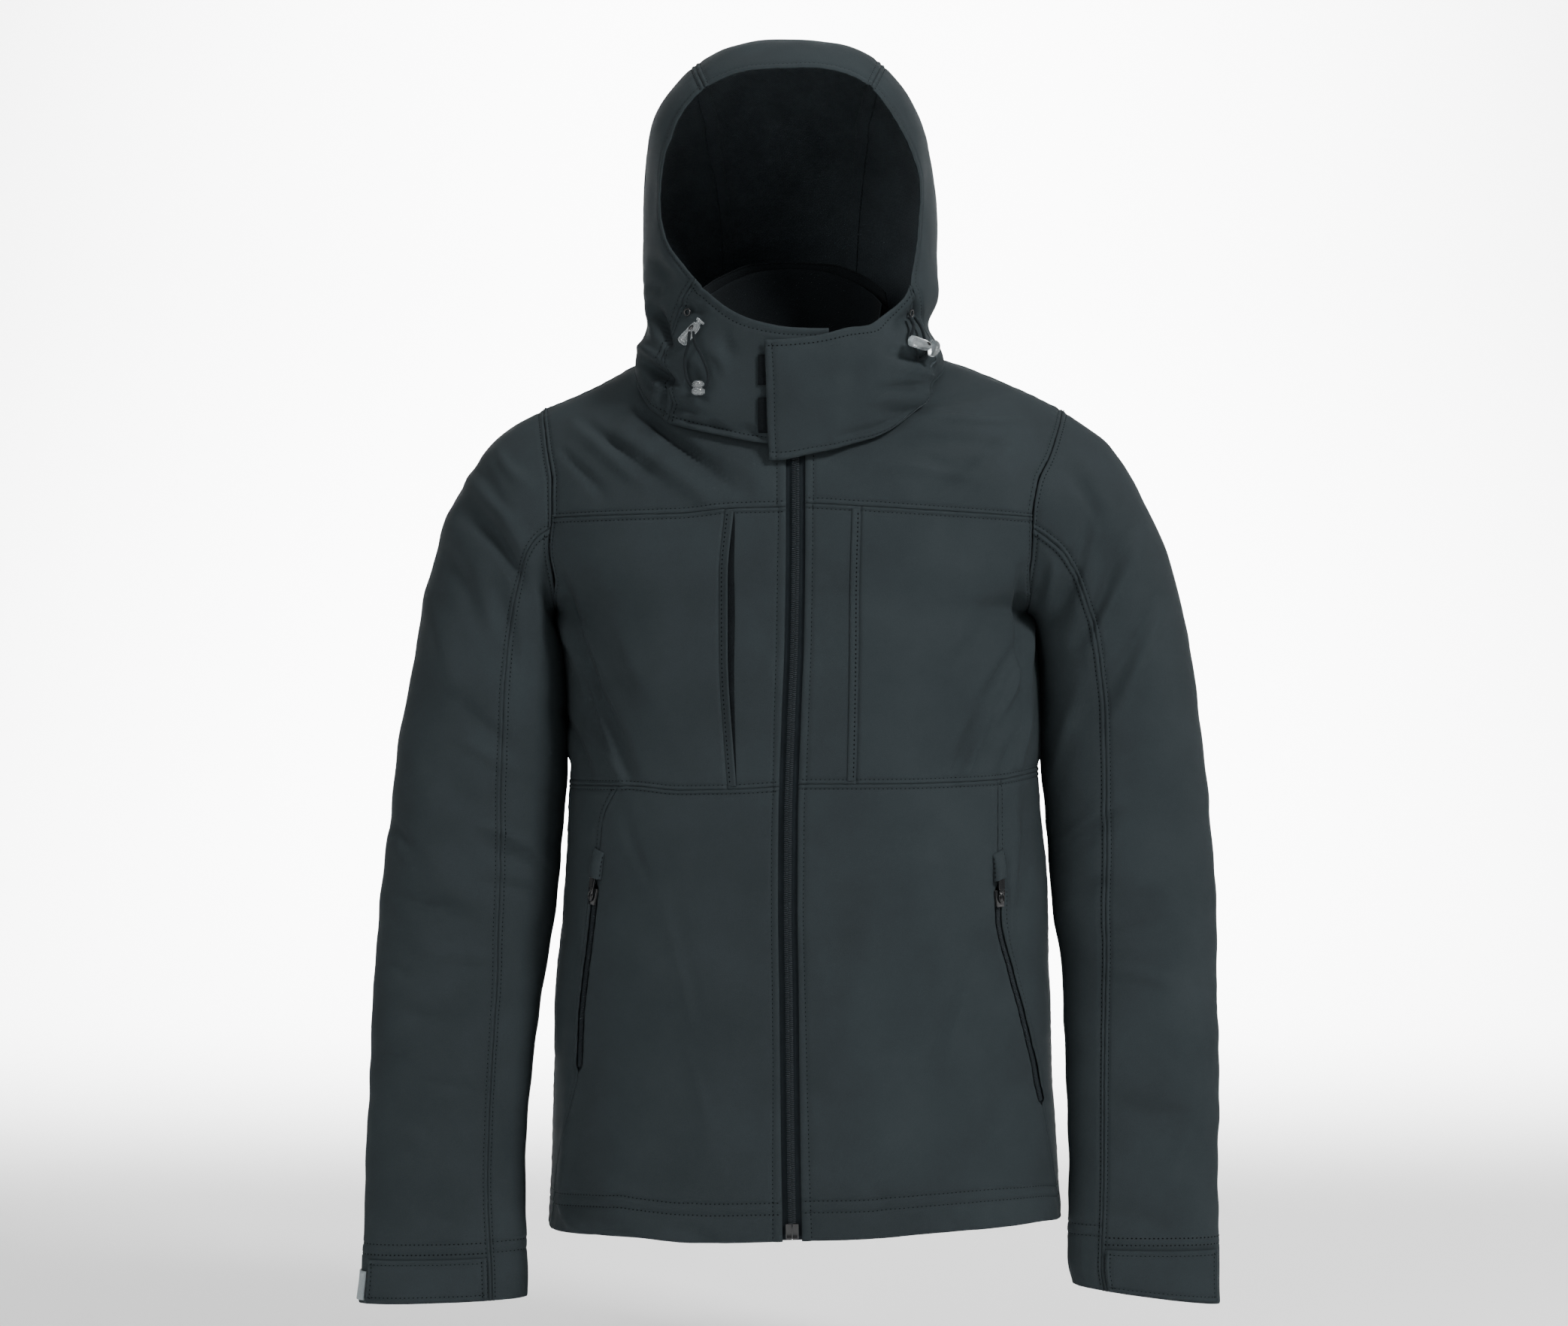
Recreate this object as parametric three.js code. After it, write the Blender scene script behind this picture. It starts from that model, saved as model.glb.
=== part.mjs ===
// Softshell jacket with a hood and a wrapped chin band, filled out as worn, with nobody inside.
// Millimetres, +Z up, front towards -Y. The origin is between the shoulders, where a neck holds it up.
import * as THREE from 'three';

// Driving dimensions
const CLOTH = 1.5;
const SEAM_INSET = 0.15;
const HEM_Z = -704;
const ARMPIT_Z = -200;
const SHOULDER_ROUND = 110;
const SHOULDER_SEAM_FORWARD = 12;
const BODY_SQUARENESS = 2.4;
const ZIP_OPENING = 6.2;
const TAPE_WIDTH = 14;
const TAPE_THICKNESS = 0.8;
const TAPE_DEPTH = 1;
const COIL_WIDTH = 5;
const NECK_HALF_WIDTH = 82;
const SLEEVE_GAP = 1;
const FLAP_LIFT = 4.2;
const LAID_ON = 0.8;
const HOOK_THICKNESS = 1;
const WELT_WIDTH = 7.5;
const POCKET_SLOT = 3.4;
const CORD_DIAMETER = 2.4;

// Colours as seen under even light
const COLOURS = {
  softshell: { color: 0x2f383c, roughness: 0.85, metalness: 0 },
  zipTape: { color: 0x23292c, roughness: 0.9, metalness: 0 },
  coil: { color: 0x15191b, roughness: 0.5, metalness: 0 },
  glossBlack: { color: 0x0b0d0e, roughness: 0.25, metalness: 0 },
  clearPlastic: { color: 0xb9c1c4, roughness: 0.15, metalness: 0 },
  cord: { color: 0x14181a, roughness: 0.8, metalness: 0 },
  hookTape: { color: 0x101315, roughness: 0.95, metalness: 0 },
  greyPatch: { color: 0x5d686b, roughness: 0.9, metalness: 0 },
};

const group = new THREE.Group();

// Small tools
const radians = (degrees) => (degrees * Math.PI) / 180;
const mix = (a, b, t) => a + (b - a) * t;
const clamp01 = (t) => Math.min(Math.max(t, 0), 1);
const ease = (t) => clamp01(t) ** 2 * (3 - 2 * clamp01(t));
const signedPower = (value, power) => Math.sign(value) * Math.abs(value) ** power;

function rowsOf(columns, rows) {
  return rows.map((row) => Object.fromEntries(columns.map((name, i) => [name, row[i]])));
}

// A smooth curve through the rows of a table that never overshoots them.
function curveOf(rows, key, column) {
  const sorted = [...rows].sort((a, b) => a[key] - b[key]);
  const at = sorted.map((row) => row[key]);
  const value = sorted.map((row) => row[column]);
  const slope = at.slice(1).map((x, i) => (value[i + 1] - value[i]) / (x - at[i]));
  const tangent = at.map((x, i) => {
    if (i === 0) return slope[0];
    if (i === at.length - 1) return slope[i - 1];
    return slope[i - 1] * slope[i] <= 0 ? 0 : (2 * slope[i - 1] * slope[i]) / (slope[i - 1] + slope[i]);
  });
  return (x) => {
    if (x <= at[0]) return value[0];
    if (x >= at[at.length - 1]) return value[at.length - 1];
    let i = 0;
    while (x > at[i + 1]) i += 1;
    const width = at[i + 1] - at[i];
    const t = (x - at[i]) / width;
    const rise = (3 - 2 * t) * t * t;
    const start = tangent[i] * width * t * (1 - t) ** 2;
    const finish = tangent[i + 1] * width * t * t * (t - 1);
    return value[i] + (value[i + 1] - value[i]) * rise + start + finish;
  };
}

function steps(from, to, count) {
  return Array.from({ length: count + 1 }, (_, i) => mix(from, to, i / count));
}

// Body girth: half widths to each side of the middle, and depths, by height
const bodyRows = rowsOf(['z', 'left', 'right', 'front', 'back'], [
  [-704, 198.5, 222, 126, 120],
  [-650, 197, 220, 128, 119],
  [-577, 194, 215, 130, 117],
  [-473, 188.8, 212, 131, 113],
  [-418, 185.8, 210.5, 131, 112],
  [-366, 183.3, 206, 131, 113],
  [-317, 181, 203, 130, 116],
  [-257, 182.2, 201.8, 129, 119],
  [-231, 184.8, 199, 128, 120],
  [-214, 189, 195.5, 127, 120.5],
  [-200, 191, 192, 126, 121],
  [-188, 200, 201, 125, 121],
  [-178, 206, 206, 125, 121],
  [-140, 224, 224, 121, 120],
  [-100, 236, 244, 116, 117],
  [-70, 245, 256, 108, 112],
  [-35, 250, 266, 99, 106],
  [0, 252, 270, 92, 104],
  [90, 254, 274, 90, 100],
]);
const halfWidth = {
  left: curveOf(bodyRows, 'z', 'left'),
  right: curveOf(bodyRows, 'z', 'right'),
};
const frontDepth = curveOf(bodyRows, 'z', 'front');
const backDepth = curveOf(bodyRows, 'z', 'back');

// Shoulder line, from the wearer's right to the left
const ridgeRows = rowsOf(['x', 'z'], [
  [-260, -58], [-205, -35], [-152, -12], [-128, 2], [-90, 14], [-70, 20],
  [0, 24], [70, 21], [90, 17], [131, 5], [193, -20.5], [232, -39], [270, -58],
]);
const ridgeHeight = curveOf(ridgeRows, 'x', 'z');
const QUARTER_TURN = Math.PI / 2;
const ridgeLength = (x) => ridgeHeight(x) + SHOULDER_ROUND * (QUARTER_TURN - 1);

// How far the hem rises or hangs from level, from the wearer's right to the left
const HEM_LEVEL_FROM = -560;
const hemRise = curveOf(rowsOf(['x', 'rise'], [
  [-199, -1], [-150, 2.6], [-125, 2.6], [-81, 0.3], [-38, 1.2], [5, 2.4],
  [69, 4.4], [112, 7.2], [156, 8.6], [202, 9.4], [224, 6],
]), 'x', 'rise');

// Main creases: a trough (depth below zero) or ridge from one point to the other
const foldRows = rowsOf(['face', 'x1', 'z1', 'x2', 'z2', 'width', 'depth'], [
  ['front', -182, -172, -130, -262, 13, -4.5],
  ['front', -170, -180, -118, -268, 12, 3],
  ['front', -172, -262, -132, -338, 12, -3.5],
  ['front', 176, -170, 128, -250, 14, -4],
  ['front', 162, -182, 118, -262, 13, 2.5],
  ['front', -96, -70, -150, -104, 13, -3],
  ['front', 92, -72, 140, -100, 13, -3],
  ['front', 60, -400, 40, -620, 26, 3],
  ['front', -70, -420, -60, -640, 26, 3],
  ['front', -196, -690, -150, -672, 12, -2.5],
  ['front', 200, -560, 150, -640, 20, -3],
  ['back', -180, -176, -120, -268, 16, -4.5],
  ['back', 182, -176, 124, -262, 16, -4.5],
  ['back', -90, -330, 80, -350, 24, -3.5],
  ['back', -110, -560, -90, -690, 24, 3],
  ['back', 90, -540, 105, -690, 24, 3],
  ['front', -236, -110, -206, -138, 12, -6],
  ['front', -290, -330, -236, -372, 14, -4],
  ['front', -318, -392, -262, -428, 16, 3.5],
  ['front', -320, -430, -250, -458, 13, -4],
  ['front', -322, -520, -262, -540, 15, -3],
  ['front', 240, -122, 262, -196, 14, -4.5],
  ['front', 300, -300, 236, -352, 15, -4],
  ['front', 330, -396, 262, -436, 16, 3.5],
  ['front', 330, -440, 250, -470, 13, -4],
  ['front', 330, -540, 262, -556, 15, -3],
  ['back', -236, -118, -214, -190, 14, -5],
  ['back', -310, -372, -240, -410, 16, -4],
  ['back', 240, -118, 222, -190, 14, -5],
  ['back', 322, -372, 246, -410, 16, -4],
]);

function foldHeight(face, x, z) {
  let height = 0;
  for (const fold of foldRows) {
    if (fold.face !== face) continue;
    const runX = fold.x2 - fold.x1;
    const runZ = fold.z2 - fold.z1;
    const t = clamp01(((x - fold.x1) * runX + (z - fold.z1) * runZ) / (runX ** 2 + runZ ** 2));
    const away = Math.hypot(x - fold.x1 - runX * t, z - fold.z1 - runZ * t);
    height += fold.depth * Math.exp(-((away / fold.width) ** 2)) * (0.45 + 0.55 * Math.sin(Math.PI * t));
  }
  return height;
}

// Body cloth: across runs from -1 to 1, down is 0 on the shoulder line, below zero on the front
function bodyPoint(across, down) {
  const side = across < 0 ? 'left' : 'right';
  const share = Math.sin(Math.min(Math.abs(across), 1) * QUARTER_TURN);
  let x = Math.sign(across) * share * 200;
  let height = 0;
  for (let pass = 0; pass < 6; pass += 1) {
    height = ridgeLength(x) - Math.abs(down);
    x = Math.sign(across) * share * halfWidth[side](height);
  }
  const start = ridgeHeight(x) - SHOULDER_ROUND;
  const turn = Math.min(Math.max((height - start) / SHOULDER_ROUND, 0), QUARTER_TURN);
  const level = turn > 0 ? start + SHOULDER_ROUND * Math.sin(turn) : height;
  const z = level + hemRise(x) * ease((HEM_LEVEL_FROM - level) / (HEM_LEVEL_FROM - HEM_Z));
  const fullness = Math.max(1 - share ** BODY_SQUARENESS, 0) ** (1 / BODY_SQUARENESS);
  const depth = down < 0 ? -frontDepth(height) : backDepth(height);
  return new THREE.Vector3(x, depth * fullness * Math.cos(turn), z);
}

function bodySpot(x, z, face = 'front') {
  const side = x < 0 ? 'left' : 'right';
  const start = ridgeHeight(x) - SHOULDER_ROUND;
  const height = z < start ? z : start + SHOULDER_ROUND * Math.asin(clamp01((z - start) / SHOULDER_ROUND));
  const share = Math.min(Math.abs(x) / halfWidth[side](height), 1);
  const across = (Math.sign(x) * Math.asin(share)) / QUARTER_TURN;
  const down = height - ridgeLength(x);
  return [across, face === 'front' ? down : -down];
}

function hemSpot(across, face) {
  const widest = halfWidth[across < 0 ? 'left' : 'right'](HEM_Z);
  return bodySpot(Math.sin(across * QUARTER_TURN) * widest, HEM_Z, face);
}

function bodyNormal(across, down) {
  const inwards = across > 0 ? -0.004 : 0.004;
  const here = bodyPoint(across, down);
  const beside = bodyPoint(across + inwards, down).sub(here);
  const above = bodyPoint(across, down + 0.5).sub(bodyPoint(across, down - 0.5));
  const normal = beside.cross(above).normalize();
  return across > 0 ? normal.negate() : normal;
}

function onBody(spot, lift = 0) {
  const point = bodyPoint(spot[0], spot[1]);
  const normal = bodyNormal(spot[0], spot[1]);
  const fold = foldHeight(spot[1] < 0 ? 'front' : 'back', point.x, point.z);
  return { point: point.addScaledVector(normal, lift + fold), normal };
}

// Walls: a grid of points on the outside, and the same grid moved in by the thickness
function wallGeometry(grid, thickness, inset = SEAM_INSET, ring = false) {
  const rows = grid.length;
  const columns = grid[0].length;
  const outer = grid.map((row) => row.map((spot) => spot.point.clone()));
  const pull = (i, j, ni, nj) => {
    const towards = grid[ni][nj].point.clone().sub(grid[i][j].point);
    const length = Math.max(towards.length(), 1e-6);
    outer[i][j].addScaledVector(towards, inset / length);
  };
  for (let j = 0; j < columns; j += 1) {
    pull(0, j, 1, j);
    pull(rows - 1, j, rows - 2, j);
  }
  if (!ring) {
    for (let i = 0; i < rows; i += 1) {
      pull(i, 0, i, 1);
      pull(i, columns - 1, i, columns - 2);
    }
  }
  const positions = [];
  for (const row of outer) row.forEach((p) => positions.push(p.x, p.y, p.z));
  grid.forEach((row, i) => row.forEach((spot, j) => {
    const p = outer[i][j].clone().addScaledVector(spot.normal, -thickness);
    positions.push(p.x, p.y, p.z);
  }));
  const size = rows * columns;
  const at = (i, j, layer) => layer * size + i * columns + (j % columns);
  const index = [];
  const quad = (a, b, c, d) => index.push(a, b, c, a, c, d);
  const last = ring ? columns : columns - 1;
  for (let i = 0; i < rows - 1; i += 1) {
    for (let j = 0; j < last; j += 1) {
      quad(at(i, j, 0), at(i, j + 1, 0), at(i + 1, j + 1, 0), at(i + 1, j, 0));
      quad(at(i, j, 1), at(i + 1, j, 1), at(i + 1, j + 1, 1), at(i, j + 1, 1));
    }
  }
  for (let j = 0; j < last; j += 1) {
    quad(at(0, j, 0), at(0, j, 1), at(0, j + 1, 1), at(0, j + 1, 0));
    quad(at(rows - 1, j, 0), at(rows - 1, j + 1, 0), at(rows - 1, j + 1, 1), at(rows - 1, j, 1));
  }
  if (!ring) {
    for (let i = 0; i < rows - 1; i += 1) {
      quad(at(i, 0, 0), at(i + 1, 0, 0), at(i + 1, 0, 1), at(i, 0, 1));
      quad(at(i, last, 0), at(i, last, 1), at(i + 1, last, 1), at(i + 1, last, 0));
    }
  }
  // Turned round where the grid runs the other way
  const middle = grid[Math.floor(rows / 2)][Math.floor(columns / 2)];
  const right = grid[Math.floor(rows / 2)][Math.floor(columns / 2) - 1];
  const below = grid[Math.floor(rows / 2) - 1][Math.floor(columns / 2)];
  const toward = middle.point.clone().sub(right.point);
  const up = middle.point.clone().sub(below.point);
  if (toward.cross(up).dot(middle.normal) < 0) {
    for (let i = 0; i < index.length; i += 3) [index[i], index[i + 1]] = [index[i + 1], index[i]];
  }
  const geometry = new THREE.BufferGeometry();
  geometry.setAttribute('position', new THREE.Float32BufferAttribute(positions, 3));
  geometry.setIndex(index);
  geometry.computeVertexNormals();
  return geometry;
}

function addMesh(name, geometry, look) {
  const mesh = new THREE.Mesh(geometry, new THREE.MeshStandardMaterial(COLOURS[look]));
  mesh.name = name;
  group.add(mesh);
  return mesh;
}

function addWall(name, grid, look, thickness = CLOTH, inset = SEAM_INSET, ring = false) {
  return addMesh(name, wallGeometry(grid, thickness, inset, ring), look);
}

// A patch between four edges, each a list of spots
function patch(start, finish, bottom, top) {
  const rows = start.length - 1;
  const columns = bottom.length - 1;
  return start.map((_, i) => bottom.map((__, j) => {
    const u = j / columns;
    const v = i / rows;
    return start[0].map((___, axis) => {
      const sides = mix(start[i][axis], finish[i][axis], u);
      const ends = mix(bottom[j][axis], top[j][axis], v);
      const low = mix(bottom[0][axis], bottom[columns][axis], u);
      const high = mix(top[0][axis], top[columns][axis], u);
      return sides + ends - mix(low, high, v);
    });
  }));
}

const bodyWall = (spots, lift = 0) => spots.map((row) => row.map((spot) => onBody(spot, lift)));

// Seam lines on the fronts
const zipMiddle = curveOf(rowsOf(['z', 'x'], [
  [-704, 1], [-628, -0.3], [-500, -1.8], [-438, -2.7], [-371, -2.4], [-290, 0], [-220, 2.6], [-133, 3.6], [-40, 3.6],
]), 'z', 'x');
const yokeSeam = curveOf(rowsOf(['x', 'z'], [
  [-200, -126], [-90, -124], [-45, -120], [-6, -119], [11, -116], [49, -118], [127, -122], [200, -126],
]), 'x', 'z');
const chestSeam = curveOf(rowsOf(['x', 'z'], [
  [-182, -342], [-129, -341], [-91, -344], [-43, -343], [-12, -341], [8, -339], [76, -339], [160, -337], [200, -332],
]), 'x', 'z');
const sides = [
  {
    name: 'right',
    sign: -1,
    weltLine: curveOf(rowsOf(['z', 'x'], [[-345, -43], [-230, -50], [-175, -50], [-118, -45]]), 'z', 'x'),
    pocketLine: curveOf(rowsOf(['z', 'x'], [
      [-704, -196], [-648, -189], [-607, -178], [-569, -171], [-530, -169], [-485, -164.5], [-437, -159],
      [-394, -154], [-368, -150.5], [-341, -138],
    ]), 'z', 'x'),
    armLine: curveOf(rowsOf(['z', 'x'], [
      [-200, -191], [-178, -192], [-150, -195], [-125, -193], [-97, -193], [-75, -196.5], [-34, -203],
    ]), 'z', 'x'),
    armTop: -34,
    zipTop: -434,
    zipLow: -569,
  },
  {
    name: 'left',
    sign: 1,
    weltLine: curveOf(rowsOf(['z', 'x'], [[-345, 44], [-250, 46], [-190, 46.5], [-118, 48.3]]), 'z', 'x'),
    pocketLine: curveOf(rowsOf(['z', 'x'], [
      [-704, 221], [-666, 214.4], [-608, 205.7], [-573, 200], [-542, 191], [-490, 177], [-445, 166.5],
      [-394, 166], [-361, 165.7], [-338, 165.5],
    ]), 'z', 'x'),
    armLine: curveOf(rowsOf(['z', 'x'], [
      [-200, 192], [-180, 192], [-155, 194], [-124, 195], [-97, 199.5], [-75, 210], [-34, 224],
    ]), 'z', 'x'),
    armTop: -34,
    zipTop: -438,
    zipLow: -600,
  },
];

// Section of the small hood over a pocket zip's pull, which rises over it
const garageProfile = rowsOf(['x', 'lift'], [
  [-7, CLOTH + LAID_ON], [-3.8, 6.8], [0, 7.2], [3.8, 6.8], [7, CLOTH + LAID_ON],
]);

// Armhole, by angle: 0 on the shoulder line, 90 in front, 180 under the arm, 270 behind
const armholeHeight = (side, angle) => mix(ARMPIT_Z, side.armTop, (1 + Math.cos(radians(angle))) / 2);
function armholeSpot(side, angle) {
  const z = armholeHeight(side, angle);
  return bodySpot(side.armLine(z), z, angle <= 180 ? 'front' : 'back');
}
const shoulderSeamSpot = (x) => [bodySpot(x, ridgeHeight(x) - 0.6)[0], -SHOULDER_SEAM_FORWARD];
const YOKE_ANGLE = 96;
const chestAngles = [180, 162, 144, 126, 110, YOKE_ANGLE];
const yokeAngles = [YOKE_ANGLE, 84, 71, 58, 46, 32, 18];

// Neckline on the fronts and on the back
const neckFront = curveOf(rowsOf(['x', 'z'], [[0, -46], [20, -45], [40, -40], [60, -27], [75, -8], [82, 12]]), 'x', 'z');
const neckBack = curveOf(rowsOf(['x', 'z'], [[0, 2], [30, 3], [55, 6], [72, 11], [80, 16], [82, 18]]), 'x', 'z');

// Rows of the lower fronts, closer together where the pocket zip starts and stops
function lowerRows(side) {
  const zips = steps(side.zipLow, side.zipTop, 5);
  return [
    ...steps(HEM_Z, side.zipLow - 8, 4), ...zips, side.zipTop + 8, side.zipTop + 42, -341,
  ];
}
function slotWidth(side, z) {
  return z >= side.zipLow - 1 && z <= side.zipTop + 1 ? POCKET_SLOT : 0;
}

for (const side of sides) {
  const { name, sign } = side;
  const zipEdge = (z) => zipMiddle(z) + sign * ZIP_OPENING;
  const chestEdge = (z) => side.weltLine(z) + sign * WELT_WIDTH;
  const widest = halfWidth[sign < 0 ? 'left' : 'right'];
  const sideEdge = (z) => bodySpot(sign * widest(z), z);

  // Lower front, from the zip to the pocket seam
  const rows = lowerRows(side);
  const corner = side.pocketLine(-341);
  const zipSpots = rows.map((z) => bodySpot(zipEdge(z), z === -341 ? chestSeam(zipEdge(z)) : z));
  const frontSpots = rows.map((z) => {
    const x = side.pocketLine(z) - sign * slotWidth(side, z);
    return bodySpot(x, z === -341 ? chestSeam(corner) : z);
  });
  const sideSpots = rows.map((z) => {
    const x = side.pocketLine(z) + sign * slotWidth(side, z);
    return bodySpot(x, z === -341 ? chestSeam(corner) : z);
  });
  const seamRow = (from, to, count) => steps(from, to, count).map((x) => bodySpot(x, chestSeam(x)));
  const hemSpots = (from, to, count) => steps(from[0], to[0], count).map((across) => hemSpot(across, 'front'));
  const atWelt = chestEdge(-341);
  const lowerTop = [...seamRow(zipEdge(-341), atWelt, 2), ...seamRow(atWelt, corner, 4).slice(1)];
  addWall(`lower_front_${name}`, bodyWall(patch(
    zipSpots, frontSpots, hemSpots(zipSpots[0], frontSpots[0], 6), lowerTop,
  )), 'softshell');

  // Side panel, from the pocket seam to the side seam
  const edgeX = sign * widest(chestSeam(sign * 180));
  const sideSeam = rows.map((z) => sideEdge(z === -341 ? chestSeam(edgeX) : z));
  const sideTop = steps(0, 1, 3).map((t) => {
    const across = mix(bodySpot(corner, chestSeam(corner))[0], sign, t);
    const x = Math.sin(across * QUARTER_TURN) * Math.abs(edgeX);
    return [across, bodySpot(x, chestSeam(x))[1]];
  });
  sideTop[0] = sideSpots[sideSpots.length - 1];
  sideTop[3] = sideSeam[sideSeam.length - 1];
  addWall(`lower_side_${name}`, bodyWall(patch(
    sideSpots, sideSeam, hemSpots(sideSpots[0], sideSeam[0], 3), sideTop,
  )), 'softshell');

  // Chest, in two pieces that meet along the pocket welt
  const seamToArmpit = steps(chestSeam(edgeX), ARMPIT_Z, 5).slice(0, 5).map((z) => sideEdge(z));
  const outerEdge = [...seamToArmpit, ...chestAngles.map((angle) => armholeSpot(side, angle))];
  const chestRows = outerEdge.length - 1;
  const upRows = (line) => steps(0, 1, chestRows).map((t) => {
    const x0 = line(-341);
    const z = mix(chestSeam(x0), yokeSeam(line(-120)), t);
    return bodySpot(line(z), z);
  });
  const zipSide = upRows(zipEdge);
  const weltSide = upRows(chestEdge);
  const topRow = (from, to, count) => steps(from, to, count).map((x) => bodySpot(x, yokeSeam(x)));
  const yokeWelt = chestEdge(-120);
  const yokeArm = side.armLine(armholeHeight(side, YOKE_ANGLE));
  addWall(`chest_inner_${name}`, bodyWall(patch(
    zipSide, weltSide, seamRow(zipEdge(-341), atWelt, 2), topRow(zipEdge(-119), yokeWelt, 2),
  )), 'softshell');
  const chestBottom = [...seamRow(atWelt, corner, 4), ...sideTop.slice(1)];
  const chestTop = topRow(yokeWelt, yokeArm, 7);
  chestTop[7] = outerEdge[chestRows];
  addWall(`chest_outer_${name}`, bodyWall(patch(weltSide, outerEdge, chestBottom, chestTop)), 'softshell');

  // Welt of the chest pocket, lying on the inner chest piece
  const weltRows = steps(chestSeam(atWelt) + 2.5, yokeSeam(yokeWelt) - 2.5, 7);
  addWall(`chest_welt_${name}`, bodyWall(weltRows.map((z) => [0, 1, 2].map((j) => (
    bodySpot(side.weltLine(z) + sign * (WELT_WIDTH - 0.8) * (j / 2), z)
  ))), CLOTH + LAID_ON), 'softshell');

  // Front yoke, up to the shoulder seam
  const neckX = sign * NECK_HALF_WIDTH;
  const yokeOuter = [
    ...yokeAngles.map((angle) => armholeSpot(side, angle)), shoulderSeamSpot(side.armLine(side.armTop)),
  ];
  const yokeInner = [
    ...steps(yokeSeam(zipEdge(-119)), -46, 4).map((z) => bodySpot(zipEdge(z), z)),
    ...[42, 70].map((x) => bodySpot(sign * x, neckFront(x))), shoulderSeamSpot(neckX),
  ];
  const yokeBottom = [...topRow(zipEdge(-119), yokeWelt, 2), ...chestTop.slice(1)];
  const yokeTop = steps(neckX, side.armLine(side.armTop), 9).map(shoulderSeamSpot);
  addWall(`front_yoke_${name}`, bodyWall(patch(yokeInner, yokeOuter, yokeBottom, yokeTop)), 'softshell');

  // Pocket zip behind its slot, with its teeth, slider, pull and garage
  const zipRows = steps(side.zipLow - 4, side.zipTop + 4, 6);
  addWall(`pocket_tape_${name}`, bodyWall(zipRows.map((z) => [-1, 0, 1].map((j) => (
    bodySpot(side.pocketLine(z) + j * 6.5, z)
  ))), -CLOTH - TAPE_DEPTH), 'zipTape', TAPE_THICKNESS);
  const coilRows = steps(side.zipLow + 1, side.zipTop - 14, 6);
  addWall(`pocket_coil_${name}`, bodyWall(coilRows.map((z) => [-1, 1].map((j) => (
    bodySpot(side.pocketLine(z) + j * 2, z)
  ))), -0.2), 'coil', CLOTH + 0.3);
  const garageRows = steps(side.zipTop + 9, side.zipTop + 39, 3);
  addWall(`pocket_garage_${name}`, garageRows.map((z, i) => garageProfile.map(({ x, lift }) => (
    onBody(bodySpot(side.pocketLine(z) + x, z), mix(lift, CLOTH + LAID_ON, i / 3))
  ))), 'softshell');
  const frame = bodyFrame(side.pocketLine(side.zipTop - 8), side.zipTop - 8, side.pocketLine);
  addMesh(`pocket_slider_${name}`, placed(sliderGeometry(), frame, 0, 0, 0.3), 'glossBlack');
  addMesh(`pocket_pull_${name}`, placed(pullGeometry(24, 6), frame, 0, 2, 3.1), 'glossBlack');
}

// A local frame on the body cloth: x across, y up along the line, z out of the cloth
function bodyFrame(x, z, line) {
  const here = onBody(bodySpot(x, z));
  const above = onBody(bodySpot(line(z + 6), z + 6)).point;
  const up = above.sub(here.point).normalize();
  const across = up.clone().cross(here.normal).normalize();
  const out = across.clone().cross(up).normalize();
  const matrix = new THREE.Matrix4().makeBasis(across, up, out);
  matrix.setPosition(here.point);
  return matrix;
}

function placed(geometry, frame, x, y, z) {
  const moved = geometry.clone();
  moved.translate(x, y, z);
  moved.applyMatrix4(frame);
  return moved;
}

function extruded(points, thickness, holes = []) {
  const shape = new THREE.Shape(points.map(([x, y]) => new THREE.Vector2(x, y)));
  holes.forEach((hole) => shape.holes.push(new THREE.Path(hole.map(([x, y]) => new THREE.Vector2(x, y)))));
  return new THREE.ExtrudeGeometry(shape, { depth: thickness, bevelEnabled: false });
}

function sliderGeometry() {
  return extruded([[-2.6, -6], [2.6, -6], [4, -1], [4, 4], [2.4, 7], [-2.4, 7], [-4, 4], [-4, -1]], 2.4);
}

function pullGeometry(length, width) {
  const w = width / 2;
  const outline = [[-w * 0.6, -4], [w * 0.6, -4], [w, -1], [w * 0.85, length - 8], [w * 0.6, length - 5],
    [-w * 0.6, length - 5], [-w * 0.85, length - 8], [-w, -1]];
  const hole = [[-1.4, -1.6], [-1.4, 4], [1.4, 4], [1.4, -1.6]];
  return extruded(outline, 1.6, [hole]);
}

// Back, one piece from hem to shoulder seams
{
  const [low, high] = sides;
  const sideSeamSpot = (side, z) => (
    bodySpot(side.sign * halfWidth[side.sign < 0 ? 'left' : 'right'](z), z, 'back')
  );
  const backEdge = (side) => [
    ...lowerRows(side).slice(0, -1).map((z) => sideSeamSpot(side, z)),
    ...steps(-341, ARMPIT_Z, 5).slice(0, 5).map((z) => sideSeamSpot(side, z)),
    ...[...chestAngles, ...yokeAngles.slice(1)].map((angle) => armholeSpot(side, 360 - angle + 0.001)),
    armholeSpot(side, 345),
    [bodySpot(side.armLine(side.armTop), side.armTop)[0], 0],
    shoulderSeamSpot(side.armLine(side.armTop)),
  ];
  const start = backEdge(low);
  const finish = backEdge(high);
  const shoulder = (side) => steps(side.armLine(side.armTop), side.sign * NECK_HALF_WIDTH, 5).map(shoulderSeamSpot);
  const neck = [-80, -66, -45, -16, 16, 45, 66, 80].map((x) => bodySpot(x, neckBack(Math.abs(x)), 'back'));
  const top = [...shoulder(low), ...neck, ...shoulder(high).reverse()];
  const bottom = steps(-1, 1, top.length - 1).map((across) => hemSpot(across, 'back'));
  addWall('back', bodyWall(patch(start, finish, bottom, top)), 'softshell');
}

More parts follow.
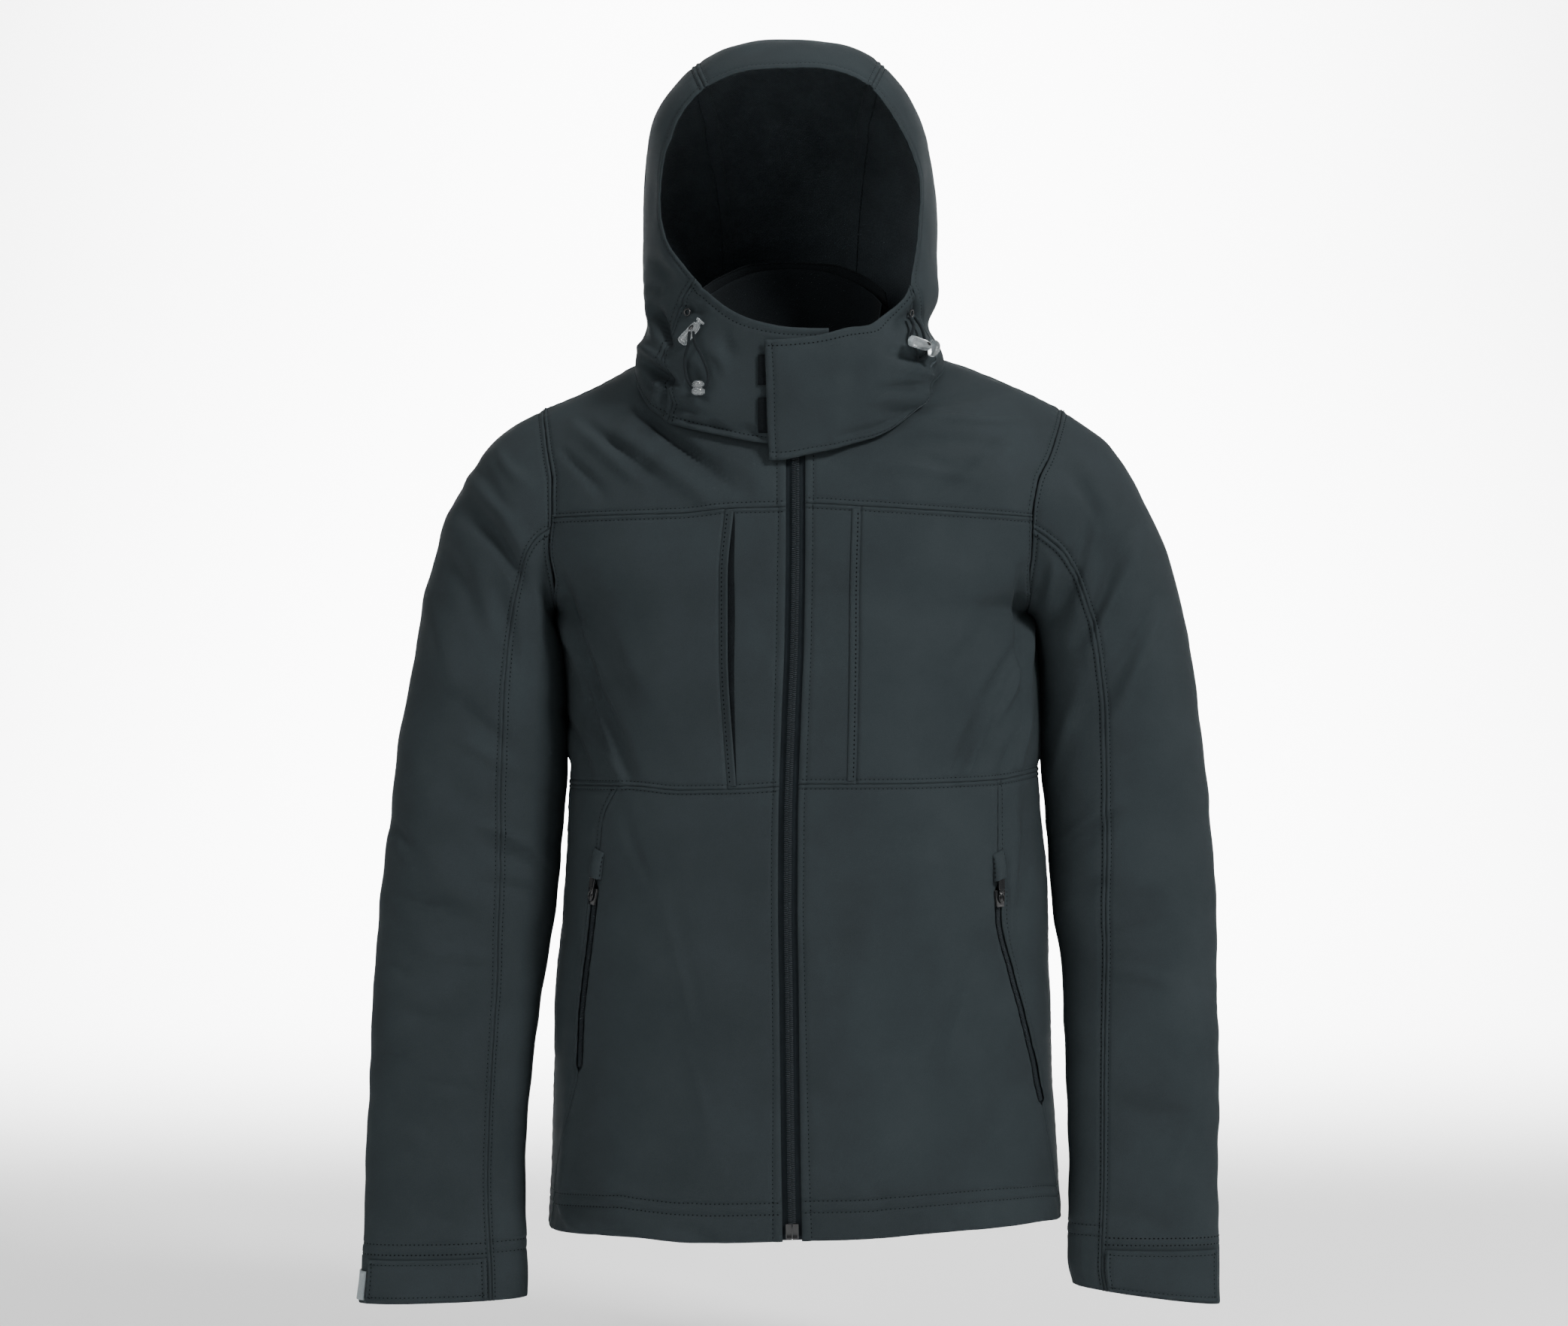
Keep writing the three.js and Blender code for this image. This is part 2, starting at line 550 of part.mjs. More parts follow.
// Main zip, from hem to neck seam
{
  const coilStart = HEM_Z + 16;
  const rows = [HEM_Z + 1, coilStart, ...steps(coilStart, -47, 24).slice(1)];
  for (const side of sides) {
    addWall(`zip_tape_${side.name}`, bodyWall(rows.map((z) => [0.15, TAPE_WIDTH].map((x) => (
      bodySpot(zipMiddle(z) + side.sign * x, z)
    ))), -CLOTH - TAPE_DEPTH), 'zipTape', TAPE_THICKNESS, 0);
  }
  const coilRows = rows.slice(1, -1);
  addWall('zip_coil', bodyWall(coilRows.map((z) => [-1, 1].map((j) => (
    bodySpot(zipMiddle(z) + (j * COIL_WIDTH) / 2, z)
  ))), 0.4), 'coil', CLOTH + 0.9, 0);
  const sliderAt = coilRows[coilRows.length - 1] + 7;
  const sliderFrame = bodyFrame(zipMiddle(sliderAt), sliderAt, zipMiddle);
  addMesh('zip_slider', placed(sliderGeometry(), sliderFrame, 0, 0, -1.9), 'glossBlack');
  const boxFrame = bodyFrame(zipMiddle(HEM_Z + 8), HEM_Z + 8, zipMiddle);
  const box = new THREE.BoxGeometry(10.4, 12, 3.4);
  addMesh('zip_retainer_box', placed(box, boxFrame, 0, 0.5, -0.2), 'glossBlack');
}

// Sleeves: the outer and the inner line of each ring, its depth to front and back, and its drift forward
const sleeveColumns = ['ring', 'outX', 'outZ', 'inX', 'inZ', 'front', 'back', 'drift'];
const sleeveRows = {
  right: rowsOf(sleeveColumns, [
    [0, -205.8, -36, -191, -200, 82, 82, 0],
    [1, -229, -48.5, -194, -205, 80, 80, 0],
    [2, -248, -63, -193, -213, 77, 77, 0],
    [3, -267.5, -92, -187.5, -227, 73, 73, 0],
    [4, -283, -122, -185.5, -244, 69, 69, -1],
    [5, -294.5, -161.8, -184.2, -263, 66, 66, -2],
    [6, -304.8, -207, -183.6, -289, 62, 62, -3],
    [7, -313.7, -258.5, -183, -318, 58, 58, -5],
    [8, -324.5, -323.6, -185.6, -362, 52, 54, -8],
    [9, -330.8, -388, -189.8, -415, 46, 50, -11],
    [10, -338, -446.4, -195.8, -462, 42, 46, -14],
    [11, -341.5, -491.7, -202.2, -503, 39, 42, -17],
    [12, -345, -569, -212, -574, 35, 36, -21],
    [13, -348.8, -666, -217.6, -665, 29, 29, -25],
    [14, -351.2, -737, -214.8, -733, 26, 26, -27],
    [15, -353, -765, -214.6, -760, 25, 25, -28],
  ]),
  left: rowsOf(sleeveColumns, [
    [0, 231, -38.5, 192, -200, 82, 82, 0],
    [1, 245.5, -48.5, 196, -205, 80, 80, 0],
    [2, 262, -60.5, 199, -213, 77, 77, 0],
    [3, 279, -84.5, 202, -228, 73, 73, 0],
    [4, 293, -115, 203.6, -245, 69, 69, -1],
    [5, 310.8, -153, 204, -262, 66, 66, -2],
    [6, 324, -207, 204.2, -290, 62, 62, -3],
    [7, 333.4, -258.5, 204.9, -318, 58, 58, -5],
    [8, 340, -318, 208, -356, 52, 54, -8],
    [9, 346.4, -385, 212.6, -412, 46, 50, -11],
    [10, 349.2, -430, 216, -452, 42, 46, -14],
    [11, 349.8, -492, 222.6, -498, 39, 42, -17],
    [12, 350.4, -569, 225, -572, 35, 36, -21],
    [13, 349.6, -666, 226.8, -663, 29, 29, -25],
    [14, 350, -731, 226, -728, 26, 26, -27],
    [15, 351, -766, 230.5, -750, 25, 25, -28],
  ]),
};
const sleeveCurves = Object.fromEntries(Object.entries(sleeveRows).map(([name, rows]) => (
  [name, Object.fromEntries(sleeveColumns.map((column) => [column, curveOf(rows, 'ring', column)]))]
)));
const headBlend = curveOf(rowsOf(['ring', 'share'], [[0, 1], [1, 0.72], [2, 0.42], [3, 0.18], [4, 0]]), 'ring', 'share');
const SLEEVE_SQUARENESS = 2.15;

function plainRing(side, ring, angle) {
  const at = sleeveCurves[side.name];
  const along = signedPower(Math.cos(radians(angle)), 2 / SLEEVE_SQUARENESS);
  const out = signedPower(Math.sin(radians(angle)), 2 / SLEEVE_SQUARENESS);
  const depth = out > 0 ? at.front(ring) : at.back(ring);
  return new THREE.Vector3(
    mix(at.inX(ring), at.outX(ring), (1 + along) / 2),
    at.drift(ring) - depth * out,
    mix(at.inZ(ring), at.outZ(ring), (1 + along) / 2),
  );
}

function sleevePoint(side, ring, angle) {
  const point = plainRing(side, ring, angle);
  const share = headBlend(ring);
  if (share > 0) {
    const turned = ((angle % 360) + 360) % 360;
    const hole = bodyPoint(...armholeSpot(side, turned));
    hole.x += side.sign * SLEEVE_GAP;
    point.add(hole.sub(plainRing(side, 0, angle)).multiplyScalar(share));
  }
  return point;
}

function onSleeve(side, ring, angle, lift = 0) {
  const point = sleevePoint(side, ring, angle);
  const lower = Math.min(ring + 0.05, 15);
  const upper = Math.max(lower - 0.1, 0);
  const along = sleevePoint(side, lower, angle).sub(sleevePoint(side, upper, angle));
  const around = sleevePoint(side, ring, angle + 1.5).sub(sleevePoint(side, ring, angle - 1.5));
  const normal = along.cross(around).normalize().multiplyScalar(-side.sign);
  if (ring === 0 && normal.x * side.sign > 0) {
    normal.x = 0;
    normal.normalize();
  }
  const turned = ((angle % 360) + 360) % 360;
  const fold = ring > 0.5 ? foldHeight(turned < 180 ? 'front' : 'back', point.x, point.z) : 0;
  return { point: point.addScaledVector(normal, lift + fold), normal };
}

const frontSeam = curveOf(rowsOf(['ring', 'angle'], [[0, 102], [6, 101], [10, 113], [12, 121], [15, 125]]), 'ring', 'angle');
const backSeam = curveOf(rowsOf(['ring', 'angle'], [[0, 258], [6, 252], [10, 240], [15, 236]]), 'ring', 'angle');
const sleeveRings = [0, 0.5, 1, 1.6, 2.3, 3, 4, 5, 6, 7, 8, 8.7, 9.4, 10, 10.8, 11.5, 12, 12.5, 13, 13.5,
  14, 14.5, 15];
const CUFF_TAB_TOP = 14.05;

for (const side of sides) {
  const sleeveWall = (from, to, count) => sleeveRings.map((ring) => (
    steps(from(ring), to(ring), count).map((angle) => onSleeve(side, ring, angle))
  ));
  addWall(`sleeve_top_${side.name}`, sleeveWall((r) => backSeam(r) - 360, frontSeam, 8), 'softshell');
  addWall(`sleeve_under_${side.name}`, sleeveWall(frontSeam, backSeam, 5), 'softshell');
  const tabRings = steps(CUFF_TAB_TOP, 14.95, 2);
  addWall(`cuff_tab_${side.name}`, tabRings.map((ring) => steps(14, frontSeam(ring) - 4, 5).map((angle) => (
    onSleeve(side, ring, angle, CLOTH + LAID_ON)
  ))), 'softshell');
}
addWall('cuff_patch', steps(CUFF_TAB_TOP, 14.9, 2).map((ring) => steps(-14, 9, 2).map((angle) => (
  onSleeve(sides[0], ring, angle, 1 + LAID_ON)
))), 'greyPatch', 1);

// Hood: one smooth form about its middle, drawn in to the neck below
const HOOD = { x: -0.5, y: 15, z: 108, width: 122, front: 130, back: 113, up: 163, squareness: 2.5 };
const hoodMiddle = new THREE.Vector3(HOOD.x, HOOD.y, HOOD.z);
const FRONT_DROP = 400;
const BACK_DROP = 132;
const BASE_BLEND = 0.55;
const BASE_CLEARANCE = 4.1;

const azimuthOf = (d) => (Math.atan2(d.x, -d.y) * 180) / Math.PI;
function directionOf(azimuth, elevation) {
  const flat = Math.cos(elevation);
  const a = radians(azimuth);
  return new THREE.Vector3(Math.sin(a) * flat, -Math.cos(a) * flat, Math.sin(elevation));
}

function freeRadius(d) {
  const back = ease((Math.abs(azimuthOf(d)) - 85) / 75);
  const drop = 1 / mix(1 / FRONT_DROP, 1 / BACK_DROP, back);
  const power = HOOD.squareness;
  const sum = (Math.abs(d.x) / HOOD.width) ** power
    + (Math.abs(d.y) / (d.y < 0 ? HOOD.front : HOOD.back)) ** power
    + (Math.abs(d.z) / (d.z > 0 ? HOOD.up : drop)) ** power;
  return sum ** (-1 / power);
}

// Height of the body cloth below a point near the neck
function bodyTopUnder(x, y) {
  const face = y < 0 ? 'front' : 'back';
  let low = -150;
  let high = ridgeHeight(x) - 0.01;
  for (let pass = 0; pass < 30; pass += 1) {
    const z = (low + high) / 2;
    if (Math.abs(bodyPoint(...bodySpot(x, z, face)).y) > Math.abs(y)) low = z;
    else high = z;
  }
  return (low + high) / 2;
}

// Lower edge of the hood and chin band, resting on the shoulders
const baseRows = rowsOf(['x', 'y', 'z'], [
  [0, 82, -200], [-45, 77, -200], [-88, 52, -200], [-113, 20, -200], [-121, -6, -200], [-127, -36, -200],
  [-124, -58, -26], [-113, -79, -40], [-96, -95, -52], [-60, -108, -61], [-22, -113, -68], [10, -114, -70],
  [40, -112, -68], [62, -109, -64], [93, -96, -48], [113, -79, -27], [122, -52, -14], [125, -30, -200],
  [121, -6, -200], [113, 20, -200], [88, 52, -200], [45, 77, -200], [0.001, 82, -200],
]).map(({ x, y, z }, i, rows) => {
  const height = Math.max(z, bodyTopUnder(x, y) + BASE_CLEARANCE);
  const away = new THREE.Vector3(x, y, height).sub(hoodMiddle);
  const radius = away.length();
  away.normalize();
  let azimuth = azimuthOf(away);
  if (i === 0) azimuth = -180;
  if (i === rows.length - 1) azimuth = 180;
  return { azimuth, elevation: Math.asin(away.z), radius };
});
const baseElevation = curveOf(baseRows, 'azimuth', 'elevation');
const baseRadius = curveOf(baseRows, 'azimuth', 'radius');

// Where the hood is drawn in, or fuller than its smooth form: side, height, spread and amount
const TRIM_REACH = 85;
const hoodTrims = rowsOf(['side', 'z', 'width', 'out'], [
  [-1, 33, 21, -9], [1, 32, 17, -13], [-1, 210, 40, 5.8],
]);

function hoodPoint(direction) {
  const d = direction.clone().normalize();
  const azimuth = azimuthOf(d);
  const edge = baseElevation(azimuth);
  const near = ease(1 - (Math.asin(d.z) - edge) / BASE_BLEND);
  const change = baseRadius(azimuth) - freeRadius(directionOf(azimuth, edge));
  const point = d.multiplyScalar(freeRadius(d) + change * near).add(hoodMiddle);
  const reach = ease(Math.abs(point.x) / TRIM_REACH);
  for (const trim of hoodTrims) {
    if (point.x * trim.side < 0) continue;
    point.x += trim.side * trim.out * reach * Math.exp(-(((point.z - trim.z) / trim.width) ** 2));
  }
  return point;
}

function onHood(direction, lift = 0) {
  const d = direction.clone().normalize();
  const up = Math.abs(d.z) > 0.9 ? new THREE.Vector3(0, 1, 0) : new THREE.Vector3(0, 0, 1);
  const right = up.clone().cross(d).normalize();
  const above = d.clone().cross(right).normalize();
  const step = (axis, amount) => hoodPoint(d.clone().addScaledVector(axis, amount));
  const across = step(right, 0.01).sub(step(right, -0.01));
  const along = step(above, 0.01).sub(step(above, -0.01));
  const normal = across.cross(along).normalize();
  if (normal.dot(d) < 0) normal.negate();
  return { point: hoodPoint(d).addScaledVector(normal, lift), normal };
}

// Direction of the hood's cloth that lies at a place seen from the front
function facingDirection(x, z) {
  const power = HOOD.squareness;
  let aimX = x - HOOD.x;
  let aimZ = z - HOOD.z;
  let direction;
  for (let pass = 0; pass < 6; pass += 1) {
    const side = Math.min(Math.abs(aimX) / HOOD.width, 1) ** power;
    const height = (Math.abs(aimZ) / (aimZ > 0 ? HOOD.up : FRONT_DROP)) ** power;
    const depth = HOOD.front * Math.max(1 - side - height, 0.0005) ** (1 / power);
    direction = new THREE.Vector3(aimX, -depth, aimZ).normalize();
    const found = hoodPoint(direction);
    aimX += x - found.x;
    aimZ += z - found.z;
  }
  return direction;
}
const edgeDirection = (azimuth) => directionOf(azimuth, baseElevation(azimuth));
const edgeDirections = (from, to, count) => steps(from, to, count).map(edgeDirection);

// Points along a line of directions, evenly spaced
function spread(directions, count) {
  const path = new THREE.CatmullRomCurve3(directions, false, 'centripetal');
  return steps(0, 1, count).map((t) => path.getPointAt(t).normalize());
}
const plain = (directions) => directions.map((d) => [d.x, d.y, d.z]);
const hoodWall = (start, finish, bottom, top, lift = () => 0) => (
  patch(plain(start), plain(finish), plain(bottom), plain(top)).map((row) => row.map((spot) => {
    const direction = new THREE.Vector3(...spot);
    return onHood(direction, lift(hoodPoint(direction)));
  }))
);

const hoodSides = {
  right: {
    brimSeam: [-70, 221],
    crown: [[-74, 40, 140], [-68, 90, 118]],
    nape: [[-60, 112, 40], [-50, 100, -40]],
    napeAzimuth: -146,
    faceEdge: [[-90, 197], [-107, 147], [-104, 110], [-77, 64.6]],
    gather: [[-92.5, 35], [-101.5, 10], [-102.5, -7], [-96, -34]],
    gatherAzimuth: -42,
  },
  left: {
    brimSeam: [65, 222],
    crown: [[72, 40, 140], [68, 90, 118]],
    nape: [[60, 112, 40], [50, 100, -40]],
    napeAzimuth: 146,
    faceEdge: [[78, 205], [105, 146], [104, 105], [95.8, 61]],
    gather: [[102, 44], [107.5, 28], [116, 5], [116, -14]],
    gatherAzimuth: 47,
  },
};
const CROWN_STEPS = 7;
const FACE_STEPS = 7;
const GATHER_STEPS = 8;
const NAPE_STEPS = FACE_STEPS + GATHER_STEPS;
const seams = {};
for (const [name, side] of Object.entries(hoodSides)) {
  const local = ([x, y, z]) => new THREE.Vector3(x, y, z).normalize();
  const brim = facingDirection(...side.brimSeam);
  const back = local(side.crown[1]);
  const corner = facingDirection(...side.faceEdge[3]);
  const crown = spread([brim, local(side.crown[0]), back], CROWN_STEPS);
  const nape = spread([back, ...side.nape.map(local), edgeDirection(side.napeAzimuth)], NAPE_STEPS);
  const face = spread([corner, ...[2, 1, 0].map((i) => facingDirection(...side.faceEdge[i])), brim], FACE_STEPS);
  const gather = spread([
    edgeDirection(side.gatherAzimuth), ...[3, 2, 1, 0].map((i) => facingDirection(...side.gather[i])), corner,
  ], GATHER_STEPS);
  seams[name] = { crown, nape, gather };
  const bottom = edgeDirections(side.napeAzimuth, side.gatherAzimuth, CROWN_STEPS);
  addWall(`hood_side_${name}`, hoodWall(
    [...nape].reverse(), [...gather, ...face.slice(1)], bottom, [...crown].reverse(),
  ), 'softshell');
}

// Middle of the hood, from the brim over the crown to the nape
{
  const line = (name) => [...seams[name].crown, ...seams[name].nape.slice(1)];
  const brim = spread([
    seams.right.crown[0], facingDirection(-40, 233), facingDirection(-1, 236.5), facingDirection(38, 233.5),
    seams.left.crown[0],
  ], 6);
  const napeTurn = 360 + hoodSides.right.napeAzimuth;
  const nape = steps(napeTurn, hoodSides.left.napeAzimuth, 6).map((a) => edgeDirection(a > 180 ? a - 360 : a));
  addWall('hood_centre', hoodWall(line('right'), line('left'), brim, nape), 'softshell');
}

// Chin band from the wearer's right, and the flap from the left that closes over it
{
  const bandEnd = spread([[30, -69], [30, -38], [30, -10], [30, 10], [30, 23.5]].map((spot) => (
    facingDirection(...spot)
  )), GATHER_STEPS);
  const bandTop = spread([
    seams.right.gather[GATHER_STEPS], facingDirection(-51.7, 41), facingDirection(-13.2, 26), bandEnd[GATHER_STEPS],
  ], 6);
  const bandBase = edgeDirections(hoodSides.right.gatherAzimuth, azimuthOf(bandEnd[0]), 6);
  bandBase[6] = bandEnd[0];
  addWall('chin_band', hoodWall(seams.right.gather, bandEnd, bandBase, bandTop), 'softshell');

  const flapEnd = [[-17, -81], [-18.5, -55], [-19.3, -32], [-20, -9], [-20.6, 13.5]];
  const flapFree = spread(flapEnd.map((spot) => facingDirection(...spot)), GATHER_STEPS);
  const flapBase = spread([
    flapFree[0], facingDirection(-10, -81.5), facingDirection(17, -76), facingDirection(62, -65),
    seams.left.gather[0],
  ], 8);
  const flapTop = spread([
    flapFree[GATHER_STEPS], facingDirection(11.4, 15.7), facingDirection(45.6, 24), facingDirection(66.7, 29.5),
    facingDirection(86, 45), seams.left.gather[GATHER_STEPS],
  ], 8);
  const lift = (point) => FLAP_LIFT * (1 - ease((point.x - 33) / 22));
  addWall('chin_flap', hoodWall(flapFree, seams.left.gather, flapBase, flapTop, lift), 'softshell');

  const hooks = [['upper', -22, 2], ['lower', -60, -32]];
  for (const [name, low, high] of hooks) {
    const spots = steps(low, high, 1).map((z) => [-26, -6].map((x) => (
      onHood(facingDirection(x, z), HOOK_THICKNESS + LAID_ON)
    )));
    addWall(`chin_hook_${name}`, spots, 'hookTape', HOOK_THICKNESS);
  }
}

// Stand collar inside the hood, open in front where its two ends meet
{
  const COLLAR_DRAW_IN = 0.96;
  const CORNERS = [0.4, 22, 42, 62, 76];
  const BACK_CORNERS = [82, 78, 62, 40, 18, 0];
  const half = (sign) => [
    ...CORNERS.map((x) => bodyPoint(...bodySpot(sign * x, neckFront(x)))),
    ...BACK_CORNERS.map((x) => bodyPoint(...bodySpot(sign * x, neckBack(x), 'back'))),
  ];
  const base = [...half(1), ...half(-1).reverse().slice(1)].map((b) => (
    new THREE.Vector3(b.x * COLLAR_DRAW_IN, b.y * COLLAR_DRAW_IN, b.z)
  ));
  const rim = curveOf(rowsOf(['y', 'z'], [[-95, 18], [-60, 34], [-20, 58], [20, 76], [64, 88]]), 'y', 'z');
  const levels = steps(0, 1, 3).map((t) => base.map((b) => (
    new THREE.Vector3(b.x * (1 - 0.03 * t), b.y * mix(1, 0.93, t), mix(b.z + 1.2, rim(b.y), t))
  )));
  const grid = levels.map((row, i) => row.map((point, j) => {
    const next = row[Math.min(j + 1, row.length - 1)];
    const before = row[Math.max(j - 1, 0)];
    const upper = levels[Math.min(i + 1, 3)][j];
    const lower = levels[Math.max(i - 1, 0)][j];
    const normal = next.clone().sub(before).cross(upper.clone().sub(lower)).normalize();
    if (normal.x * point.x + normal.y * (point.y + 10) < 0) normal.negate();
    return { point, normal };
  }));
  addWall('collar', grid, 'softshell');
}

// Elastic cord of the chin band, with its eyelets, locks and bead, set out as seen from the front
function offHood(x, z, off) {
  const { point, normal } = onHood(facingDirection(x, z));
  return { point: point.add(new THREE.Vector3(0, -off / Math.max(-normal.y, 0.45), 0)), normal };
}

function hoodFrame(x, z, off, tilt = 0) {
  const { point, normal } = offHood(x, z, off);
  const across = new THREE.Vector3(0, 0, 1).cross(normal).normalize();
  const up = normal.clone().cross(across).normalize();
  const matrix = new THREE.Matrix4().makeBasis(across, up, normal);
  matrix.multiply(new THREE.Matrix4().makeRotationZ(radians(tilt)));
  matrix.setPosition(point);
  return matrix;
}

function turned(profile, segments) {
  return new THREE.LatheGeometry(profile.map(([r, y]) => new THREE.Vector2(r, y)), segments);
}

function cordGeometry(rows) {
  const radius = CORD_DIAMETER / 2;
  const section = new THREE.Shape(steps(0, 7, 7).map((i) => (
    new THREE.Vector2(radius * Math.cos((i * Math.PI) / 4), radius * Math.sin((i * Math.PI) / 4))
  )));
  const route = rows.map(({ x, z, off }) => offHood(x, z, off).point);
  const path = new THREE.CatmullRomCurve3(route, false, 'centripetal');
  return new THREE.ExtrudeGeometry(section, { steps: 26, bevelEnabled: false, extrudePath: path });
}

// A lock lies across the cord: a barrel that narrows towards its plunger
const lockProfile = [
  [0, -12.5], [3.6, -12], [4.3, -10], [4, 0], [3.6, 7.5], [1.9, 8], [1.9, 10], [3.7, 10.4], [3.7, 12], [0, 12.5],
];
const eyeletProfile = [[1.7, 0], [3.6, 0], [3.6, 0.6], [2.6, 1.1], [1.7, 0.6], [1.7, 0]];
const lockPlaces = {
  right: { x: -80, z: 21.5, off: 4.7, tilt: -39, eyeX: -83, eyeZ: 38, eyeOff: 0.7 },
  left: { x: 106.5, z: 10.5, off: 8.6, tilt: 82, eyeX: 101, eyeZ: 38, eyeOff: 3.1 },
};
for (const [name, at] of Object.entries(lockPlaces)) {
  const barrel = turned(lockProfile, 12);
  addMesh(`cord_lock_${name}`, placed(barrel, hoodFrame(at.x, at.z, at.off, at.tilt), 0, 0, 0), 'clearPlastic');
  const ring = turned(eyeletProfile, 12);
  ring.rotateX(QUARTER_TURN);
  addMesh(`cord_eyelet_${name}`, placed(ring, hoodFrame(at.eyeX, at.eyeZ, at.eyeOff), 0, 0, 0), 'glossBlack');
}

// Routes of the free cord, by place and height off the cloth
const routeColumns = ['x', 'z', 'off'];
addMesh('cord_right', cordGeometry(rowsOf(routeColumns, [
  [-81.2, 21, 9.9], [-82, 12, 8.6], [-84.6, 0, 4.8], [-84, -12, 4], [-82, -19.5, 6], [-79, -23.6, 7],
  [-73.8, -24.2, 7], [-68.6, -23.6, 7], [-66, -19.5, 6], [-66, -12, 4], [-70.5, 0, 4.8], [-76.8, 12, 8.6],
  [-77.8, 21, 9.9],
])), 'cord');
addMesh('cord_left', cordGeometry(rowsOf(routeColumns, [
  [99.2, 35, 5], [99.4, 28, 6.4], [99.8, 22, 6.2], [100.6, 13, 4], [102.2, 5, 2.6], [105.6, 1, 2.6],
  [108.6, 5, 2.6], [108.2, 13, 4], [105.6, 22, 6.2], [104.2, 28, 6.4], [102.8, 35, 5],
])), 'cord');
const beadProfile = [
  [2.3, -4.8], [4.4, -4.8], [5.6, -3], [5.6, -1], [4.7, 0], [5.6, 1], [5.6, 3], [4.4, 4.8], [2.3, 4.8], [2.3, -4.8],
];
{
  const bead = turned(beadProfile, 12);
  bead.rotateZ(QUARTER_TURN);
  addMesh('cord_bead', placed(bead, hoodFrame(-73.8, -24.2, 7), 0, 0, 0), 'clearPlastic');
}

export default group;
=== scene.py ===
import math

import bpy
import numpy as np
from mathutils import Matrix, Vector


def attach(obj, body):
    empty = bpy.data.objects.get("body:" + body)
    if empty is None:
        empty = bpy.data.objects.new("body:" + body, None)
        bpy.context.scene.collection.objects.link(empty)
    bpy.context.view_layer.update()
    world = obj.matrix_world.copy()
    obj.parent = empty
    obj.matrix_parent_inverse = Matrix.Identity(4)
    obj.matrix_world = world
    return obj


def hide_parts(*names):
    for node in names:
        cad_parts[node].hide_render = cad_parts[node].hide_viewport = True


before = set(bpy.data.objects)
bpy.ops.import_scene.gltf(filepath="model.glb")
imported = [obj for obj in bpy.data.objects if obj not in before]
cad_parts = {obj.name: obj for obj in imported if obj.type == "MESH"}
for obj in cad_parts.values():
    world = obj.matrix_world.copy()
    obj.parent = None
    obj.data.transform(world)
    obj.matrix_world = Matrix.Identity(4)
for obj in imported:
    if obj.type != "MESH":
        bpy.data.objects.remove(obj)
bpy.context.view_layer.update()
bpy.ops.object.select_all(action="DESELECT")

# Camera, as the photograph was taken: level, from the front
camera = {"away": 3.2, "across": -0.0056, "height": -0.243, "widthSeen": 1.2933}
bpy.ops.object.camera_add(location=(camera["across"], -camera["away"], camera["height"]))
cam = bpy.context.object
cam.name = "camera"
cam.rotation_euler = (math.radians(90), 0, 0)
cam.data.sensor_width = 36
cam.data.lens = 36 * camera["away"] / camera["widthSeen"]
cam.data.clip_end = 50
bpy.context.scene.camera = cam
print("stage: camera")

mm = 0.001
cloth = {
    "thick": 1.3, "cell": 3.2, "backCell": 4.6, "sleeveCell": 3.8, "hoodCell": 2.9, "stitchAway": 3.7,
    "stitchPitch": 3.6, "pucker": 0.34,
}

# Small tools, on whole arrays


def mix(a, b, t):
    return a + (b - a) * t


def ease(t):
    t = np.clip(t, 0, 1)
    return t * t * (3 - 2 * t)


def signedPower(value, power):
    return np.sign(value) * np.abs(value) ** power


def unit(v):
    return v / np.maximum(np.linalg.norm(v, axis=-1, keepdims=True), 1e-12)


# Distance travelled along a line of points, or along all the lines of a grid taken together
def runOf(points, axis=0):
    steps = np.linalg.norm(np.diff(points, axis=axis), axis=-1)
    return np.concatenate([[0], np.cumsum(steps if steps.ndim == 1 else steps.mean(1 - axis))])


def readAt(line, run, want):
    return np.stack([np.interp(want, run, column) for column in line.T], -1)


# A smooth curve through the rows that never overshoots them
def curveOf(rows, column=1):
    rows = sorted(rows, key=lambda row: row[0])
    at = np.array([row[0] for row in rows], float)
    value = np.array([row[column] for row in rows], float)
    slope = np.diff(value) / np.diff(at)
    tangent = np.empty(len(at))
    tangent[0], tangent[-1] = slope[0], slope[-1]
    a, b = slope[:-1], slope[1:]
    same = a * b > 0
    tangent[1:-1] = np.where(same, 2 * a * b / np.where(same, a + b, 1), 0)

    def curve(x):
        x = np.clip(np.asarray(x, float), at[0], at[-1])
        i = np.clip(np.searchsorted(at, x, side="right") - 1, 0, len(at) - 2)
        width = at[i + 1] - at[i]
        t = (x - at[i]) / width
        rise = value[i] + (value[i + 1] - value[i]) * (3 - 2 * t) * t * t
        return rise + tangent[i] * width * t * (1 - t) ** 2 + tangent[i + 1] * width * t * t * (t - 1)

    return curve


